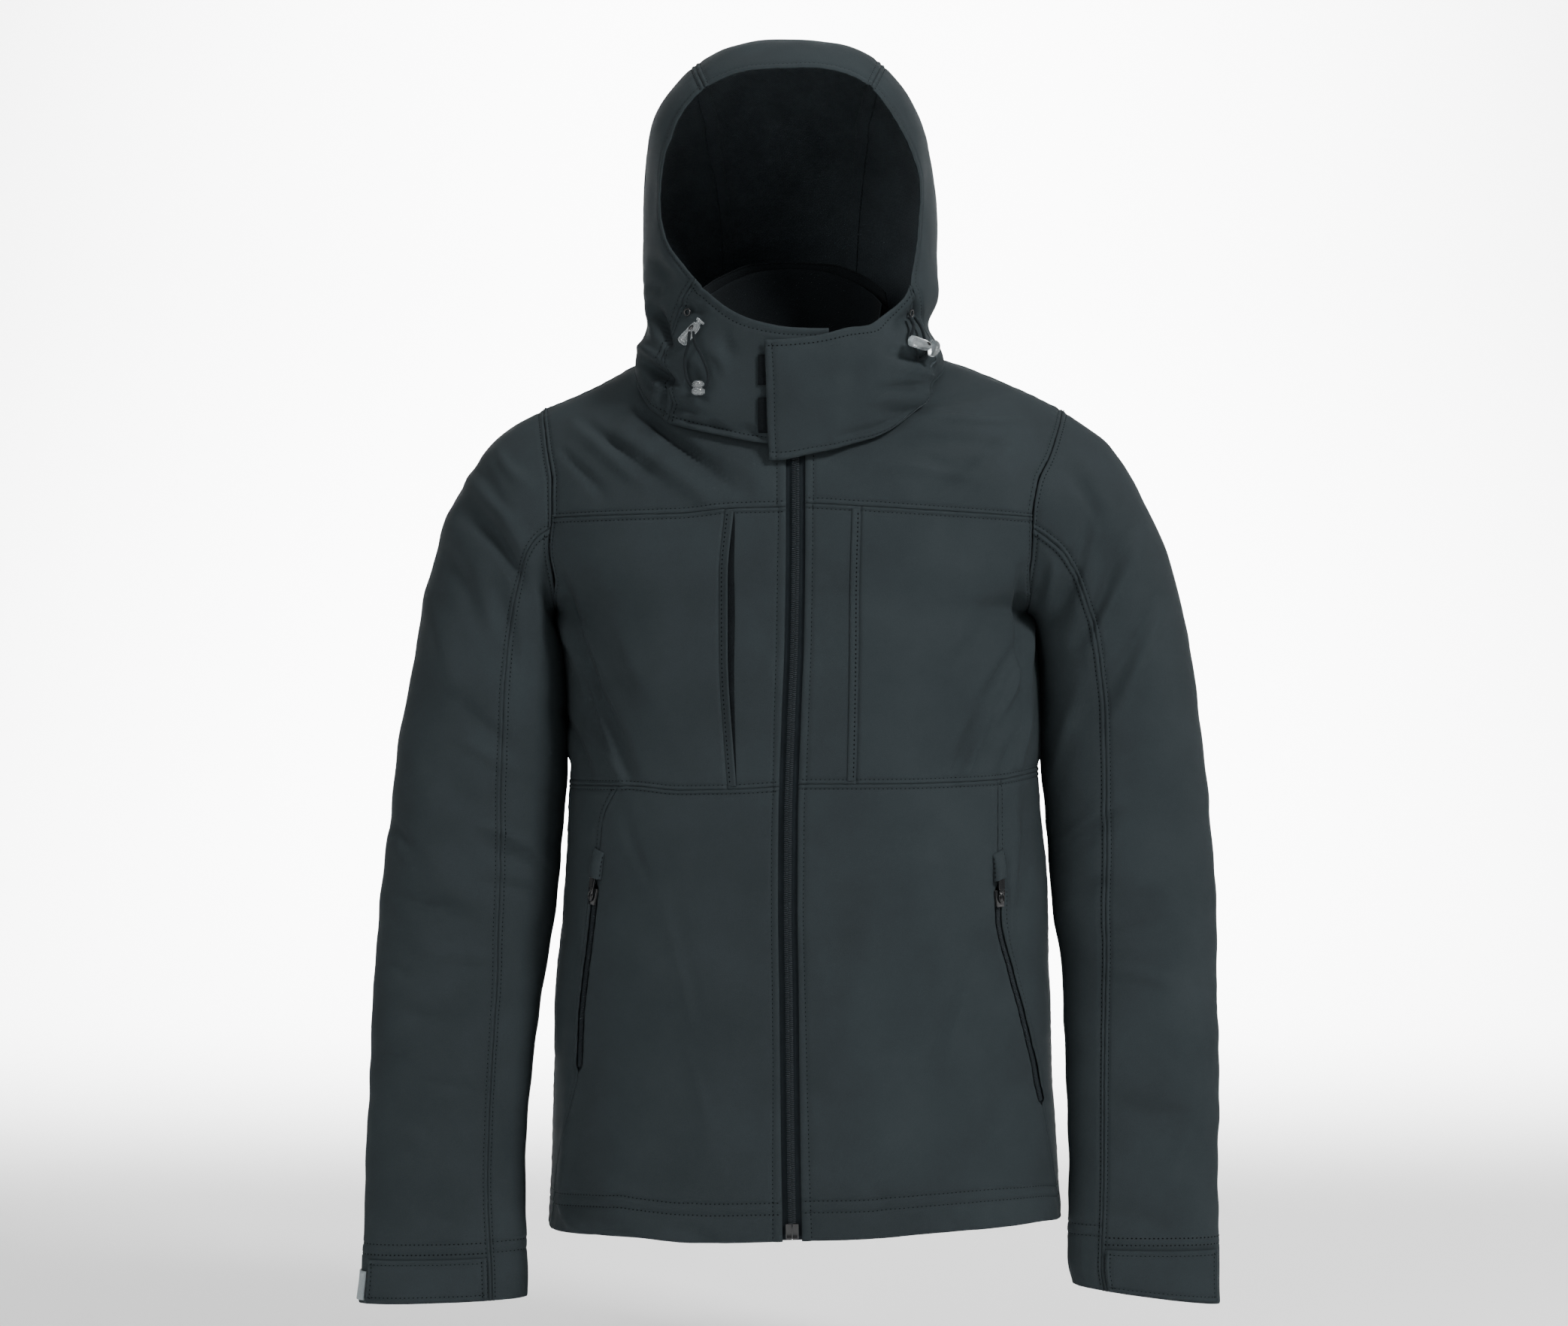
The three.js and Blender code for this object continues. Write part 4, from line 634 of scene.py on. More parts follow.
# A body piece between four edges, with its grid close together beside its seams
def bodyPanel(name, start, finish, bottom, top, seams, cell=None):
    start, finish, bottom, top = (resample(edge) for edge in (start, finish, bottom, top))
    grid = patch(start, finish, bottom, top)
    along, across = lengthsOf(bodyPoint(grid[::8, ::8]))
    spots = sampled(grid, shares(along, cell, seams[:2]), shares(across, cell, seams[2:]))
    points, normals = onBody(spots)
    clothPiece(name, sewnGrid(points, normals, seams), normals)


# Body pieces
def heights(low, high, count=241):
    return np.linspace(low, high, count)


def slotAt(side, z):
    opens = ease((z - (side["zipLow"] - 3)) / 4) * ease(((side["zipTop"] + 3) - z) / 4)
    return sewing["slot"] * opens


for side in wearers:
    name, sign, widestAt = side["name"], side["sign"], side["widest"]

    def zipEdge(z):
        return zipMiddle(z) + sign * sewing["zipOpening"]

    def chestEdge(z):
        return side["welt"](z) + sign * sewing["weltWidth"]

    def rise(line, low, high, shift=0):
        z = heights(low, high)
        return bodySpot(line(z) + shift * slotAt(side, z), z)

    def seamRow(a, b, seam):
        x = np.linspace(a, b, 121)
        return bodySpot(x, seam(x))

    def hemRow(a, b):
        return bodySpot(np.sin(np.linspace(a, b, 161) * quarter) * widestAt(body["hem"]), body["hem"])

    corner, atWelt, atZip = side["pocket"](level["chest"]), chestEdge(level["chest"]), zipEdge(level["chest"])
    edgeX = sign * widestAt(chestSeam(sign * 180))

    # Lower front and side panel
    zipLine = rise(zipEdge, body["hem"], chestSeam(atZip))
    innerLine, outerLine = (rise(side["pocket"], body["hem"], chestSeam(corner), way) for way in (-sign, sign))
    bodyPanel(
        "lower_front_" + name, zipLine, innerLine,
        hemRow(zipLine[0, 0], innerLine[0, 0]), seamRow(atZip, corner, chestSeam),
        [sewing["hem"], "stitch", sewing["zipRow"], "seam"],
    )
    z = heights(body["hem"], chestSeam(edgeX))
    sideSeam = bodySpot(sign * widestAt(z), z)
    sideSeam[:, 0] = sign
    across = np.linspace(bodySpot(corner, chestSeam(corner))[0], sign, 91)
    x = np.sin(across * quarter) * abs(edgeX)
    sideTop = bodySpot(x, chestSeam(x))
    sideTop[:, 0] = across
    bodyPanel(
        "lower_side_" + name, outerLine, sideSeam,
        hemRow(outerLine[0, 0], sign), sideTop, [sewing["hem"], "stitch", "stitch", "seam"],
    )

    # Chest
    z = heights(chestSeam(edgeX), body["armpit"])
    underArm = bodySpot(sign * widestAt(z), z)
    underArm[:, 0] = sign
    outerEdge = joined(underArm, armholeSpots(side, np.linspace(180, sewing["yokeAngle"], 121)))
    yokeWelt, yokeZip = chestEdge(level["yoke"]), zipEdge(level["yoke"] + 1)
    zipSide = rise(zipEdge, chestSeam(atZip), yokeSeam(zipEdge(level["yoke"])))
    weltSide = rise(chestEdge, chestSeam(atWelt), yokeSeam(yokeWelt))
    armShare = (1 + math.cos(math.radians(sewing["yokeAngle"]))) / 2
    armX = side["arm"](mix(body["armpit"], side["armTop"], armShare))
    bodyPanel(
        "chest_inner_" + name, zipSide, weltSide,
        seamRow(atZip, atWelt, chestSeam), seamRow(yokeZip, yokeWelt, yokeSeam),
        ["stitch", "stitch", sewing["zipRow"], ""],
    )
    bodyPanel(
        "chest_outer_" + name, weltSide, outerEdge,
        joined(seamRow(atWelt, corner, chestSeam), sideTop), seamRow(yokeWelt, armX, yokeSeam),
        ["stitch", "stitch", "", "stitch"],
    )

    # Yoke
    neckX = sign * sewing["neckHalf"]
    armTopX = side["arm"](side["armTop"])
    armLine = armholeSpots(side, np.linspace(sewing["yokeAngle"], sewing["yokeEnd"], 121))
    yokeOuter = np.concatenate([armLine, shoulderSpots(np.array([armTopX]))])
    neckLine = np.linspace(abs(zipEdge(level["neck"])) + 1, 81, 61)
    yokeInner = np.concatenate([
        rise(zipEdge, yokeSeam(yokeZip), level["neck"]), bodySpot(sign * neckLine, neckFront(neckLine)),
        shoulderSpots(np.array([neckX])),
    ])
    bodyPanel(
        "front_yoke_" + name, yokeInner, yokeOuter,
        joined(seamRow(yokeZip, yokeWelt, yokeSeam), seamRow(yokeWelt, armX, yokeSeam)),
        shoulderSpots(np.linspace(neckX, armTopX, 121)),
        ["stitch", "stitch", sewing["zipRow"], "stitch"],
    )
print("stage: fronts")

# Back, in one piece
backEdges = []
for side in wearers:
    z = heights(body["hem"], body["armpit"])
    seamLine = bodySpot(side["sign"] * side["widest"](z), z, "back")
    seamLine[:, 0] = side["sign"]
    armTopX = side["arm"](side["armTop"])
    ridgeSpot = np.array([[bodySpot(armTopX, side["armTop"])[0], 0]])
    backEdges.append(np.concatenate([
        seamLine, armholeSpots(side, np.linspace(180.5, 345, 161)), ridgeSpot, shoulderSpots(np.array([armTopX])),
    ]))
rightTop, leftTop = (side["arm"](side["armTop"]) for side in wearers)
neckX = np.linspace(-79, 79, 121)
neckSpots = bodySpot(neckX, neckBack(np.abs(neckX)), "back")
neckEnds = shoulderSpots(np.array([-1.0, 1.0]) * sewing["neckHalf"]) * [1, 0]
backTop = np.concatenate([
    shoulderSpots(np.linspace(rightTop, -sewing["neckHalf"], 91)), neckEnds[:1], neckSpots, neckEnds[1:],
    shoulderSpots(np.linspace(sewing["neckHalf"], leftTop, 91)),
])
hemAcross = np.linspace(-1, 1, 241)
hemX = np.sin(hemAcross * quarter) * widest(hemAcross, body["hem"])
hemBack = bodySpot(hemX, body["hem"], "back")
hemBack[:, 0] = hemAcross
bodyPanel(
    "back", *backEdges, hemBack, backTop, [sewing["hem"], "stitch", "stitch", "stitch"], cloth["backCell"],
)
print("stage: back")


# Chest welts, pocket zips and their garages
welt = {
    "open": 5.4, "lift": 1.2, "gape": {"right": 2.2, "left": 0.2}, "fromSeam": 2.5,
    "steps": (0, 0.35, 0.9, 1.8, 2.9, 4.0, 5.0, 5.9, 6.7),
}
zipTape = {"across": (0.15, 1.5, 2.8, 4.2, 5.6, 7.5, 10.5, 14), "depth": 2.5, "thick": 0.8}


def zipTapePiece(name, line, z, across):
    points, normals = onBody(bodySpot(line(z) + across, z), -zipTape["depth"])
    clothPiece(name, points, normals, slot="zip_tape", thick=zipTape["thick"], materials=[tapeCloth])


garage = {"from": 8, "to": 30, "half": 4.6, "rise": 6.0, "slant": 2.2}
for side in wearers:
    name, sign = side["name"], side["sign"]
    low = chestSeam(side["welt"](level["chest"])) + welt["fromSeam"]
    high = yokeSeam(side["welt"](level["yoke"])) - welt["fromSeam"]
    z = low + (high - low) * shares(high - low)
    run = np.array(welt["steps"])[None]
    gape = (1 - run / run.max()) ** 1.4 * np.sin(math.pi * (z - low) / (high - low))[:, None] ** 0.8
    rolled = -0.75 * np.exp(-((run / 0.55) ** 2))
    lift = welt["lift"] * (1 - ease((run - 0.8) / 5.4)) + rolled + welt["gape"][name] * gape
    points, normals = onBody(bodySpot(side["welt"](z)[:, None] + sign * run, z[:, None]), lift)
    clothPiece("chest_welt_" + name, points, normals)
    stitchLines.append((points[:, 6], normals[:, 6]))

    if name == "right":
        # the pocket's inside under the gaping welt, in the very dark hook tape cloth: painted shade in the pocket
        # opening
        opening = welt["open"] * np.sin(math.pi * ((z - low) / (high - low)) ** 1.5) ** 0.7
        run = np.linspace(2.0, -1.0, 7)[None]
        run = np.where(run > 0, run, run * opening[:, None])
        points, normals = onBody(bodySpot(side["welt"](z)[:, None] + sign * run, z[:, None]), 0.5)
        clothPiece("chest_pocket_inside_shade", points, normals, "chest_welt_right", thick=0.4, materials=[hookTapeAndShadeCloth])

    zipRows = np.linspace(side["zipLow"] - 4, side["zipTop"] + 4, 46)[:, None]
    zipTapePiece("pocket_tape_" + name, side["pocket"], zipRows, np.linspace(-6.5, 6.5, 9))

    across = np.linspace(-garage["half"], garage["half"], 21)[None]
    z = side["zipTop"] + np.linspace(garage["from"], garage["to"], 25)[:, None]
    z = z + sign * across * garage["slant"] / garage["half"]
    arch = np.cos(np.abs(across) / garage["half"] * quarter) ** 0.5
    fade = 1 - ease(np.linspace(-0.25, 0.8, 25))[:, None]
    edge = ease((np.abs(across) / garage["half"] - 0.72) / 0.28)
    lift = 1.5 - 1.1 * edge + (garage["rise"] - 1.5) * arch * fade
    lift[-3:] -= np.array([0.2, 0.7, 1.3])[:, None]
    points, normals = onBody(bodySpot(side["pocket"](z) + across, z), lift)
    clothPiece("pocket_garage_" + name, points, normals)
    for column in (1, 19):
        stitchLines.append((points[:, column], normals[:, column]))
print("stage: pockets")

# Tapes of the main zip
zipRows = np.linspace(body["hem"] + 1, level["neck"] - 1, 150)[:, None]
for side in wearers:
    zipTapePiece("zip_tape_" + side["name"], zipMiddle, zipRows, side["sign"] * np.array(zipTape["across"]))

# Sleeves: each ring, from the armhole down to the cuff
sleeveRows = {
    # outer x z, inner x z
    "right": [
        (-205.8, -36, -191, -200), (-229, -48.5, -194, -205), (-248, -63, -193, -213),
        (-267.5, -92, -187.5, -227), (-283, -122, -185.5, -244), (-294.5, -161.8, -184.2, -263),
        (-304.8, -207, -183.6, -289), (-313.7, -258.5, -183, -318), (-324.5, -323.6, -185.6, -362),
        (-330.8, -388, -189.8, -415), (-338, -446.4, -195.8, -462), (-341.5, -491.7, -202.2, -503),
        (-345, -569, -212, -574), (-348.8, -666, -217.6, -665), (-351.2, -737, -214.8, -733),
        (-353, -765, -214.6, -760),
    ],
    "left": [
        (231, -38.5, 192, -200), (245.5, -48.5, 196, -205), (262, -60.5, 199, -213), (279, -84.5, 202, -228),
        (293, -115, 203.6, -245), (310.8, -153, 204, -262), (324, -207, 204.2, -290),
        (333.4, -258.5, 204.9, -318), (340, -318, 208, -356), (346.4, -385, 212.6, -412),
        (349.2, -430, 216, -452), (349.8, -492, 222.6, -498), (350.4, -569, 225, -572),
        (349.6, -666, 226.8, -663), (350, -731, 226, -728), (351, -766, 230.5, -750),
    ],
    # of both: depth to front and back, drift
    "depths": [
        (82, 82, 0), (80, 80, 0), (77, 77, 0), (73, 73, 0), (69, 69, -1), (66, 66, -2), (62, 62, -3),
        (58, 58, -5), (52, 54, -8), (46, 50, -11), (42, 46, -14), (39, 42, -17), (35, 36, -21),
        (29, 29, -25), (26, 26, -27), (25, 25, -28),
    ],
}
sleeveCurves = {}
for name in ("right", "left"):
    rows = [(ring, *row, *sleeveRows["depths"][ring]) for ring, row in enumerate(sleeveRows[name])]
    sleeveCurves[name] = [curveOf(rows, column) for column in range(1, 8)]
headBlend = curveOf([(0, 1), (1, 0.72), (2, 0.42), (3, 0.18), (4, 0)])
frontSeam = curveOf([(0, 102), (6, 101), (10, 113), (12, 121), (15, 125)])
backSeam = curveOf([(0, 258), (6, 252), (10, 240), (15, 236)])
sleeve = {"squareness": 2.15, "gap": 0.1, "midway": 7.0, "last": 15}


def plainRing(side, ring, angle):
    outX, outZ, inX, inZ, front, back, drift = (curve(ring) for curve in sleeveCurves[side["name"]])
    power = 2 / sleeve["squareness"]
    along = signedPower(np.cos(np.radians(angle)), power)
    out = signedPower(np.sin(np.radians(angle)), power)
    depth = np.where(out > 0, front, back)
    share = (1 + along) / 2
    return np.stack([mix(inX, outX, share), drift - depth * out, mix(inZ, outZ, share)], -1)


def sleevePoint(side, ring, angle):
    ring, angle = np.broadcast_arrays(np.asarray(ring, float), np.asarray(angle, float))
    hole = bodyPoint(armholeSpots(side, np.mod(angle, 360)))
    hole = hole + np.array([side["sign"] * sleeve["gap"], 0, 0])
    change = hole - plainRing(side, np.zeros_like(ring), angle)
    return plainRing(side, ring, angle) + change * headBlend(ring)[..., None]


def onSleeve(side, ring, angle, lift=0.0):
    ring, angle = np.broadcast_arrays(np.asarray(ring, float), np.asarray(angle, float))
    point = sleevePoint(side, ring, angle)
    lower = np.minimum(ring + 0.05, sleeve["last"])
    upper = np.maximum(lower - 0.1, 0)
    along = sleevePoint(side, lower, angle) - sleevePoint(side, upper, angle)
    around = sleevePoint(side, ring, angle + 1.5) - sleevePoint(side, ring, angle - 1.5)
    normal = unit(-side["sign"] * np.cross(along, around))
    inward = (ring < 0.3) & (normal[..., 0] * side["sign"] > 0)
    normal[..., 0] = np.where(inward, 0, normal[..., 0])
    normal = unit(normal)
    back = np.mod(angle, 360) >= 180
    height = foldHeight(point, back, creases, fineCreases) * ease((ring - 0.15) / 0.7)
    # cloth piles into low rings round the arm, strongest inside the elbow
    rings = np.sin(point[..., 2] * 0.16 + 1.9 * np.sin(np.radians(angle) + point[..., 2] * 0.011))
    height = height + ripple(point) * ease(ring / 1.5) + 0.25 * rings * ease((ring - 4) / 3)
    return point + normal * (height + lift)[..., None], normal


def sleevePanel(name, side, first, last, seams):
    ringAt = np.linspace(0, sleeve["last"], 301)
    middle = sleevePoint(side, ringAt, (first(ringAt) + last(ringAt)) / 2)
    run = runOf(middle)
    rings = np.interp(shares(run[-1], cloth["sleeveCell"], seams[:2]) * run[-1], run, ringAt)
    ring = sleeve["midway"]
    wide = runOf(sleevePoint(side, ring, np.linspace(first(ring), last(ring), 61)))[-1]
    part = shares(wide, cloth["sleeveCell"], seams[2:])
    angles = first(rings)[:, None] + (last(rings) - first(rings))[:, None] * part[None]
    points, normals = onSleeve(side, rings[:, None], angles)
    clothPiece(name, sewnGrid(points, normals, seams), normals)


def backTurned(ring):
    return backSeam(ring) - 360


cuff = {
    "rows": {"right": (39, 47.5), "left": (43.5, 52)}, "tabTop": {"right": 13.83, "left": 13.79},
    "tabEnd": {"right": 28, "left": 22}, "tabLift": 2.9, "tabBase": 14.95, "tabHeight": 34, "tabLength": 118,
    "patchRings": (14.05, 14.9), "patchTurn": (-24, 25), "patchLift": 1.8,
}
for side in wearers:
    name = side["name"]
    for panel, first, last in (("top", backTurned, frontSeam), ("under", frontSeam, backSeam)):
        seams = ["stitch", cuff["rows"][name], "stitch", "stitch"]
        sleevePanel("sleeve_" + panel + "_" + name, side, first, last, seams)

    # Cuff tab
    tabRings = mix(cuff["tabTop"][name], cuff["tabBase"], shares(cuff["tabHeight"], 3.2, ("stitch", "stitch")))
    reach = shares(cuff["tabLength"], 4.0, ("stitch", "stitch"))
    angles = mix(cuff["tabEnd"][name], frontSeam(tabRings)[:, None] - 4, reach[None])
    points, normals = onSleeve(side, tabRings[:, None], angles, cuff["tabLift"])
    clothPiece("cuff_tab_" + name, sewnGrid(points, normals, ["stitch"] * 4, 0.1), normals)
patchRings, patchAngles = np.linspace(*cuff["patchRings"], 12), np.linspace(*cuff["patchTurn"], 12)
points, normals = onSleeve(wearers[0], patchRings[:, None], patchAngles[None], cuff["patchLift"])
clothPiece("cuff_patch", points, normals, slot="grey_patch", thick=1.0, materials=[greyCloth])
print("stage: sleeves")

# Hood: one smooth form about its middle, drawn in to the neck below
hood = {
    "middle": (-0.5, 15, 108), "width": 122, "front": 130, "back": 113, "up": 163, "squareness": 2.5,
    "frontDrop": 400, "backDrop": 132, "blend": 0.55, "clear": 4.1, "flapLift": 4.2, "trimReach": 85,
    # drawn in, or fuller than the smooth form: side, height, spread, amount
    "trims": [(-1, 33, 21, -9), (1, 32, 17, -13), (-1, 210, 40, 5.8)],
}
hoodMiddle = np.array(hood["middle"], float)


def azimuthOf(d):
    return np.degrees(np.arctan2(d[..., 0], -d[..., 1]))


def directionOf(azimuth, elevation):
    a, flat = np.radians(azimuth), np.cos(elevation)
    return np.stack([np.sin(a) * flat, -np.cos(a) * flat, np.sin(elevation)], -1)


def freeRadius(d):
    back = ease((np.abs(azimuthOf(d)) - 85) / 75)
    drop = 1 / mix(1 / hood["frontDrop"], 1 / hood["backDrop"], back)
    power = hood["squareness"]
    total = (
        (np.abs(d[..., 0]) / hood["width"]) ** power
        + (np.abs(d[..., 1]) / np.where(d[..., 1] < 0, hood["front"], hood["back"])) ** power
        + (np.abs(d[..., 2]) / np.where(d[..., 2] > 0, hood["up"], drop)) ** power
    )
    return total ** (-1 / power)


def bodyTopUnder(x, y):
    face = "front" if y < 0 else "back"
    low, high = -150.0, float(ridgeHeight(x)) - 0.01
    for _ in range(30):
        z = (low + high) / 2
        if abs(float(bodyPoint(bodySpot(x, z, face))[1])) > abs(y):
            low = z
        else:
            high = z
    return (low + high) / 2


# Lower edge of the hood and chin band, resting on the shoulders
baseRows = []
baseSpots = [
    (0, 82, -200), (-45, 77, -200), (-88, 52, -200), (-113, 20, -200), (-121, -6, -200), (-127, -36, -200),
    (-124, -58, -26), (-113, -79, -40), (-96, -95, -52), (-60, -108, -61), (-22, -113, -68), (10, -114, -70),
    (40, -112, -68), (62, -109, -64), (93, -96, -48), (113, -79, -27), (122, -52, -14), (125, -30, -200),
    (121, -6, -200), (113, 20, -200), (88, 52, -200), (45, 77, -200), (0.001, 82, -200),
]
for i, (x, y, z) in enumerate(baseSpots):
    away = np.array([x, y, max(z, bodyTopUnder(x, y) + hood["clear"])]) - hoodMiddle
    radius = float(np.linalg.norm(away))
    turn = float(azimuthOf(away))
    turn = -180.0 if i == 0 else 180.0 if i == len(baseSpots) - 1 else turn
    baseRows.append((turn, math.asin(away[2] / radius), radius))
baseElevation, baseRadius = curveOf(baseRows, 1), curveOf(baseRows, 2)


def hoodPoint(direction):
    d = unit(direction)
    azimuth = azimuthOf(d)
    edge = baseElevation(azimuth)
    near = ease(1 - (np.arcsin(np.clip(d[..., 2], -1, 1)) - edge) / hood["blend"])
    change = baseRadius(azimuth) - freeRadius(directionOf(azimuth, edge))
    point = d * (freeRadius(d) + change * near)[..., None] + hoodMiddle
    x, z = point[..., 0], point[..., 2]
    reach = ease(np.abs(x) / hood["trimReach"])
    for side, height, spread, out in hood["trims"]:
        x = x + side * out * reach * np.exp(-(((z - height) / spread) ** 2)) * (x * side >= 0)
    return np.stack([x, point[..., 1], z], -1)


# Creases of the hood, in the same form as the body's
hoodCreases = {
    "front": [
        # wearer's right: the hollow behind the drawn seam, and its puckers
        (-119, -1, -95, -20, 4.2, -14.9), (-124, 14, -100, -2, 4, 5.4), (-111, 42, -96, 12, 4.6, -10.8),
        (-116, 48, -110, 20, 5, 4.6), (-104, -8, -112, -34, 4, 4.1), (-100, -14, -106, -44, 4, -5.4),
        (-120, -12, -104, -30, 4, -4.1), (-92, 45, -70, 37, 3.2, -4.6), (-98, -34, -74, -46, 3.2, -4.1),
        (-94, -42, -66, -52, 3.2, 3.2), (-88, -46, -58, -56, 3.2, -4.1), (-70, -50, -40, -60, 3.2, -3.5),
        (-44, -55, -20, -63, 3.2, -3.2), (-54, 20, -46, 0, 6, -3), (-64, 10, -52, -12, 5, 2.4),
        (-88, -18, -70, -34, 5, -3), (-84, 50, -60, 60, 4, 2.7), (-112, 84, -96, 60, 7, -3.3),
        (-104, 96, -88, 66, 6, 2.9), (-116, 66, -106, 54, 4, -3.7), (-117, 110, -112, 180, 10, -2.6),
        (-98, 190, -88, 140, 5, -1.8),
        # wearer's left: folds that run from the drawn seam across the flap
        (118, -4, 78, 6, 3.4, -5.1), (117, -12, 82, -6, 3.6, 4.1), (114, 2, 96, 10, 3.2, 3.5),
        (115, -20, 70, -24, 4, -4.3), (114, 12, 104, 2, 4, -4.6), (110, -26, 66, -36, 4.5, 3.2),
        (108, -38, 72, -46, 4, -3.5), (96, 42, 84, 22, 6, -4.6), (104, 52, 98, 30, 5, -4.9),
        (121, 0, 118, -34, 3.4, -4.3), (124, -4, 122, -36, 3.4, 4.1), (104, -44, 40, -62, 4, -3),
        (60, -4, 20, -20, 9, -2.4), (114, 100, 112, 180, 10, -2.4), (-60, 246, -30, 262, 8, 2),
        (70, 240, 40, 262, 8, 2),
    ],
    "back": [
        (-110, 20, -80, 60, 10, -5.4), (110, 20, 82, 62, 10, -5.4), (-70, 10, -40, 90, 12, 4.1),
        (70, 10, 44, 92, 12, 4.1), (-90, 6, -56, 40, 6, -4.6), (90, 6, 58, 42, 6, -4.6),
        (-30, 8, 30, 14, 8, -3.5), (-90, 130, -60, 190, 12, -2.9), (92, 130, 60, 192, 12, -2.9),
    ],
}


def hoodNormal(d):
    d = unit(d)
    up = np.where(np.abs(d[..., 2:3]) > 0.9, np.array([0.0, 1, 0]), np.array([0.0, 0, 1]))
    right = unit(np.cross(up, d))
    above = unit(np.cross(d, right))
    across = hoodPoint(d + right * 0.01) - hoodPoint(d - right * 0.01)
    along = hoodPoint(d + above * 0.01) - hoodPoint(d - above * 0.01)
    normal = unit(np.cross(across, along))
    return np.where((normal * d).sum(-1, keepdims=True) < 0, -normal, normal)


def onHood(direction, lift=0.0):
    point, normal = hoodPoint(direction), hoodNormal(direction)
    back = point[..., 1] > 15
    height = foldHeight(point, back, hoodCreases) + 0.7 * ripple(point * 1.3)
    return point + normal * (height + lift)[..., None], normal


# Direction of the hood's cloth that lies at a place seen from the front
def facingDirection(x, z):
    x, z = np.broadcast_arrays(np.asarray(x, float), np.asarray(z, float))
    aimX, aimZ = x - hoodMiddle[0], z - hoodMiddle[2]
    power = hood["squareness"]
    for _ in range(6):
        side = np.minimum(np.abs(aimX) / hood["width"], 1) ** power
        height = (np.abs(aimZ) / np.where(aimZ > 0, hood["up"], hood["frontDrop"])) ** power
        depth = hood["front"] * np.maximum(1 - side - height, 0.0005) ** (1 / power)
        direction = unit(np.stack([aimX, -depth, aimZ], -1))
        found = hoodPoint(direction)
        aimX = aimX + x - found[..., 0]
        aimZ = aimZ + z - found[..., 2]
    return direction


def edgeDirections(a, b, count=121):
    azimuth = np.linspace(a, b, count)
    azimuth = np.where(azimuth > 180, azimuth - 360, azimuth)
    return directionOf(azimuth, baseElevation(azimuth))


# A centripetal curve through the points, evenly spaced
def smoothLine(points, count=121):
    points = np.asarray(points, float)
    first, last = 2 * points[0] - points[1], 2 * points[-1] - points[-2]
    full = np.concatenate([first[None], points, last[None]])
    out = []
    for i in range(1, len(full) - 2):
        p0, p1, p2, p3 = full[i - 1:i + 3]
        d0, d1, d2 = (max(float(np.linalg.norm(b - a)) ** 0.5, 1e-6) for a, b in ((p0, p1), (p1, p2), (p2, p3)))
        m1 = ((p1 - p0) / d0 - (p2 - p0) / (d0 + d1) + (p2 - p1) / d1) * d1
        m2 = ((p2 - p1) / d1 - (p3 - p1) / (d1 + d2) + (p3 - p2) / d2) * d1
        t = np.linspace(0, 1, 40)[:, None]
        out.append(
            (2 * t ** 3 - 3 * t ** 2 + 1) * p1 + (t ** 3 - 2 * t ** 2 + t) * m1
            + (-2 * t ** 3 + 3 * t ** 2) * p2 + (t ** 3 - t ** 2) * m2
        )
    line = joined(*out)
    run = runOf(line)
    return readAt(line, run, np.linspace(0, run[-1], count))


def hoodPanel(name, start, finish, bottom, top, seams, lift=None, pucker=None):
    start, finish, bottom, top = (resample(edge, 161, hoodPoint) for edge in (start, finish, bottom, top))
    grid = patch(start, finish, bottom, top)
    along, across = lengthsOf(hoodPoint(grid[::8, ::8]))
    cell = cloth["hoodCell"]
    directions = sampled(grid, shares(along, cell, seams[:2]), shares(across, cell, seams[2:]))
    raised = lift(hoodPoint(directions)) if lift else 0.0
    points, normals = onHood(directions, raised)
    clothPiece(name, sewnGrid(points, normals, seams, pucker), normals)


def seen(*spots):
    return np.stack([facingDirection(x, z) for x, z in spots])


def local(*spots):
    return unit(np.array(spots, float))


hoodSides = {
    "right": {
        "brim": (-70, 221), "crown": [(-74, 40, 140), (-68, 90, 118)], "nape": [(-60, 112, 40), (-50, 100, -40)],
        "napeTurn": -146, "face": [(-90, 197), (-107, 147), (-104, 110), (-77, 64.6)],
        "gather": [(-92.5, 35), (-101.5, 10), (-102.5, -7), (-96, -34)], "gatherTurn": -42,
    },
    "left": {
        "brim": (65, 222), "crown": [(72, 40, 140), (68, 90, 118)], "nape": [(60, 112, 40), (50, 100, -40)],
        "napeTurn": 146, "face": [(78, 205), (105, 146), (104, 105), (95.8, 61)],
        "gather": [(102, 44), (107.5, 28), (116, 5), (116, -14)], "gatherTurn": 47,
    },
}
hoodSeams = {}
brim = {"row": 6.2, "base": 5.0, "flap": 6.2}
for name, side in hoodSides.items():
    peak, corner = seen(side["brim"])[0], seen(side["face"][3])[0]
    crown = smoothLine([peak, *local(*side["crown"])])
    nape = smoothLine([crown[-1], *local(*side["nape"]), edgeDirections(side["napeTurn"], side["napeTurn"], 1)[0]])
    face = smoothLine([corner, *seen(*side["face"][2::-1]), peak])
    atBase = edgeDirections(side["gatherTurn"], side["gatherTurn"], 1)[0]
    gather = smoothLine([atBase, *seen(*side["gather"][::-1]), corner])
    hoodSeams[name] = {"crown": crown, "nape": nape, "gather": gather}
    base = edgeDirections(side["napeTurn"], side["gatherTurn"])
    hoodPanel(
        "hood_side_" + name, nape[::-1], joined(gather, face), base, crown[::-1],
        [brim["base"], "stitch", "stitch", brim["row"]],
    )

napeTurn = 360 + hoodSides["right"]["napeTurn"]
brimLine = smoothLine([
    hoodSeams["right"]["crown"][0], *seen((-40, 233), (-1, 236.5), (38, 233.5)), hoodSeams["left"]["crown"][0],
])
hoodPanel(
    "hood_centre", joined(hoodSeams["right"]["crown"], hoodSeams["right"]["nape"]),
    joined(hoodSeams["left"]["crown"], hoodSeams["left"]["nape"]), brimLine,
    edgeDirections(napeTurn, hoodSides["left"]["napeTurn"]), [brim["row"], brim["base"], "stitch", "stitch"],
)

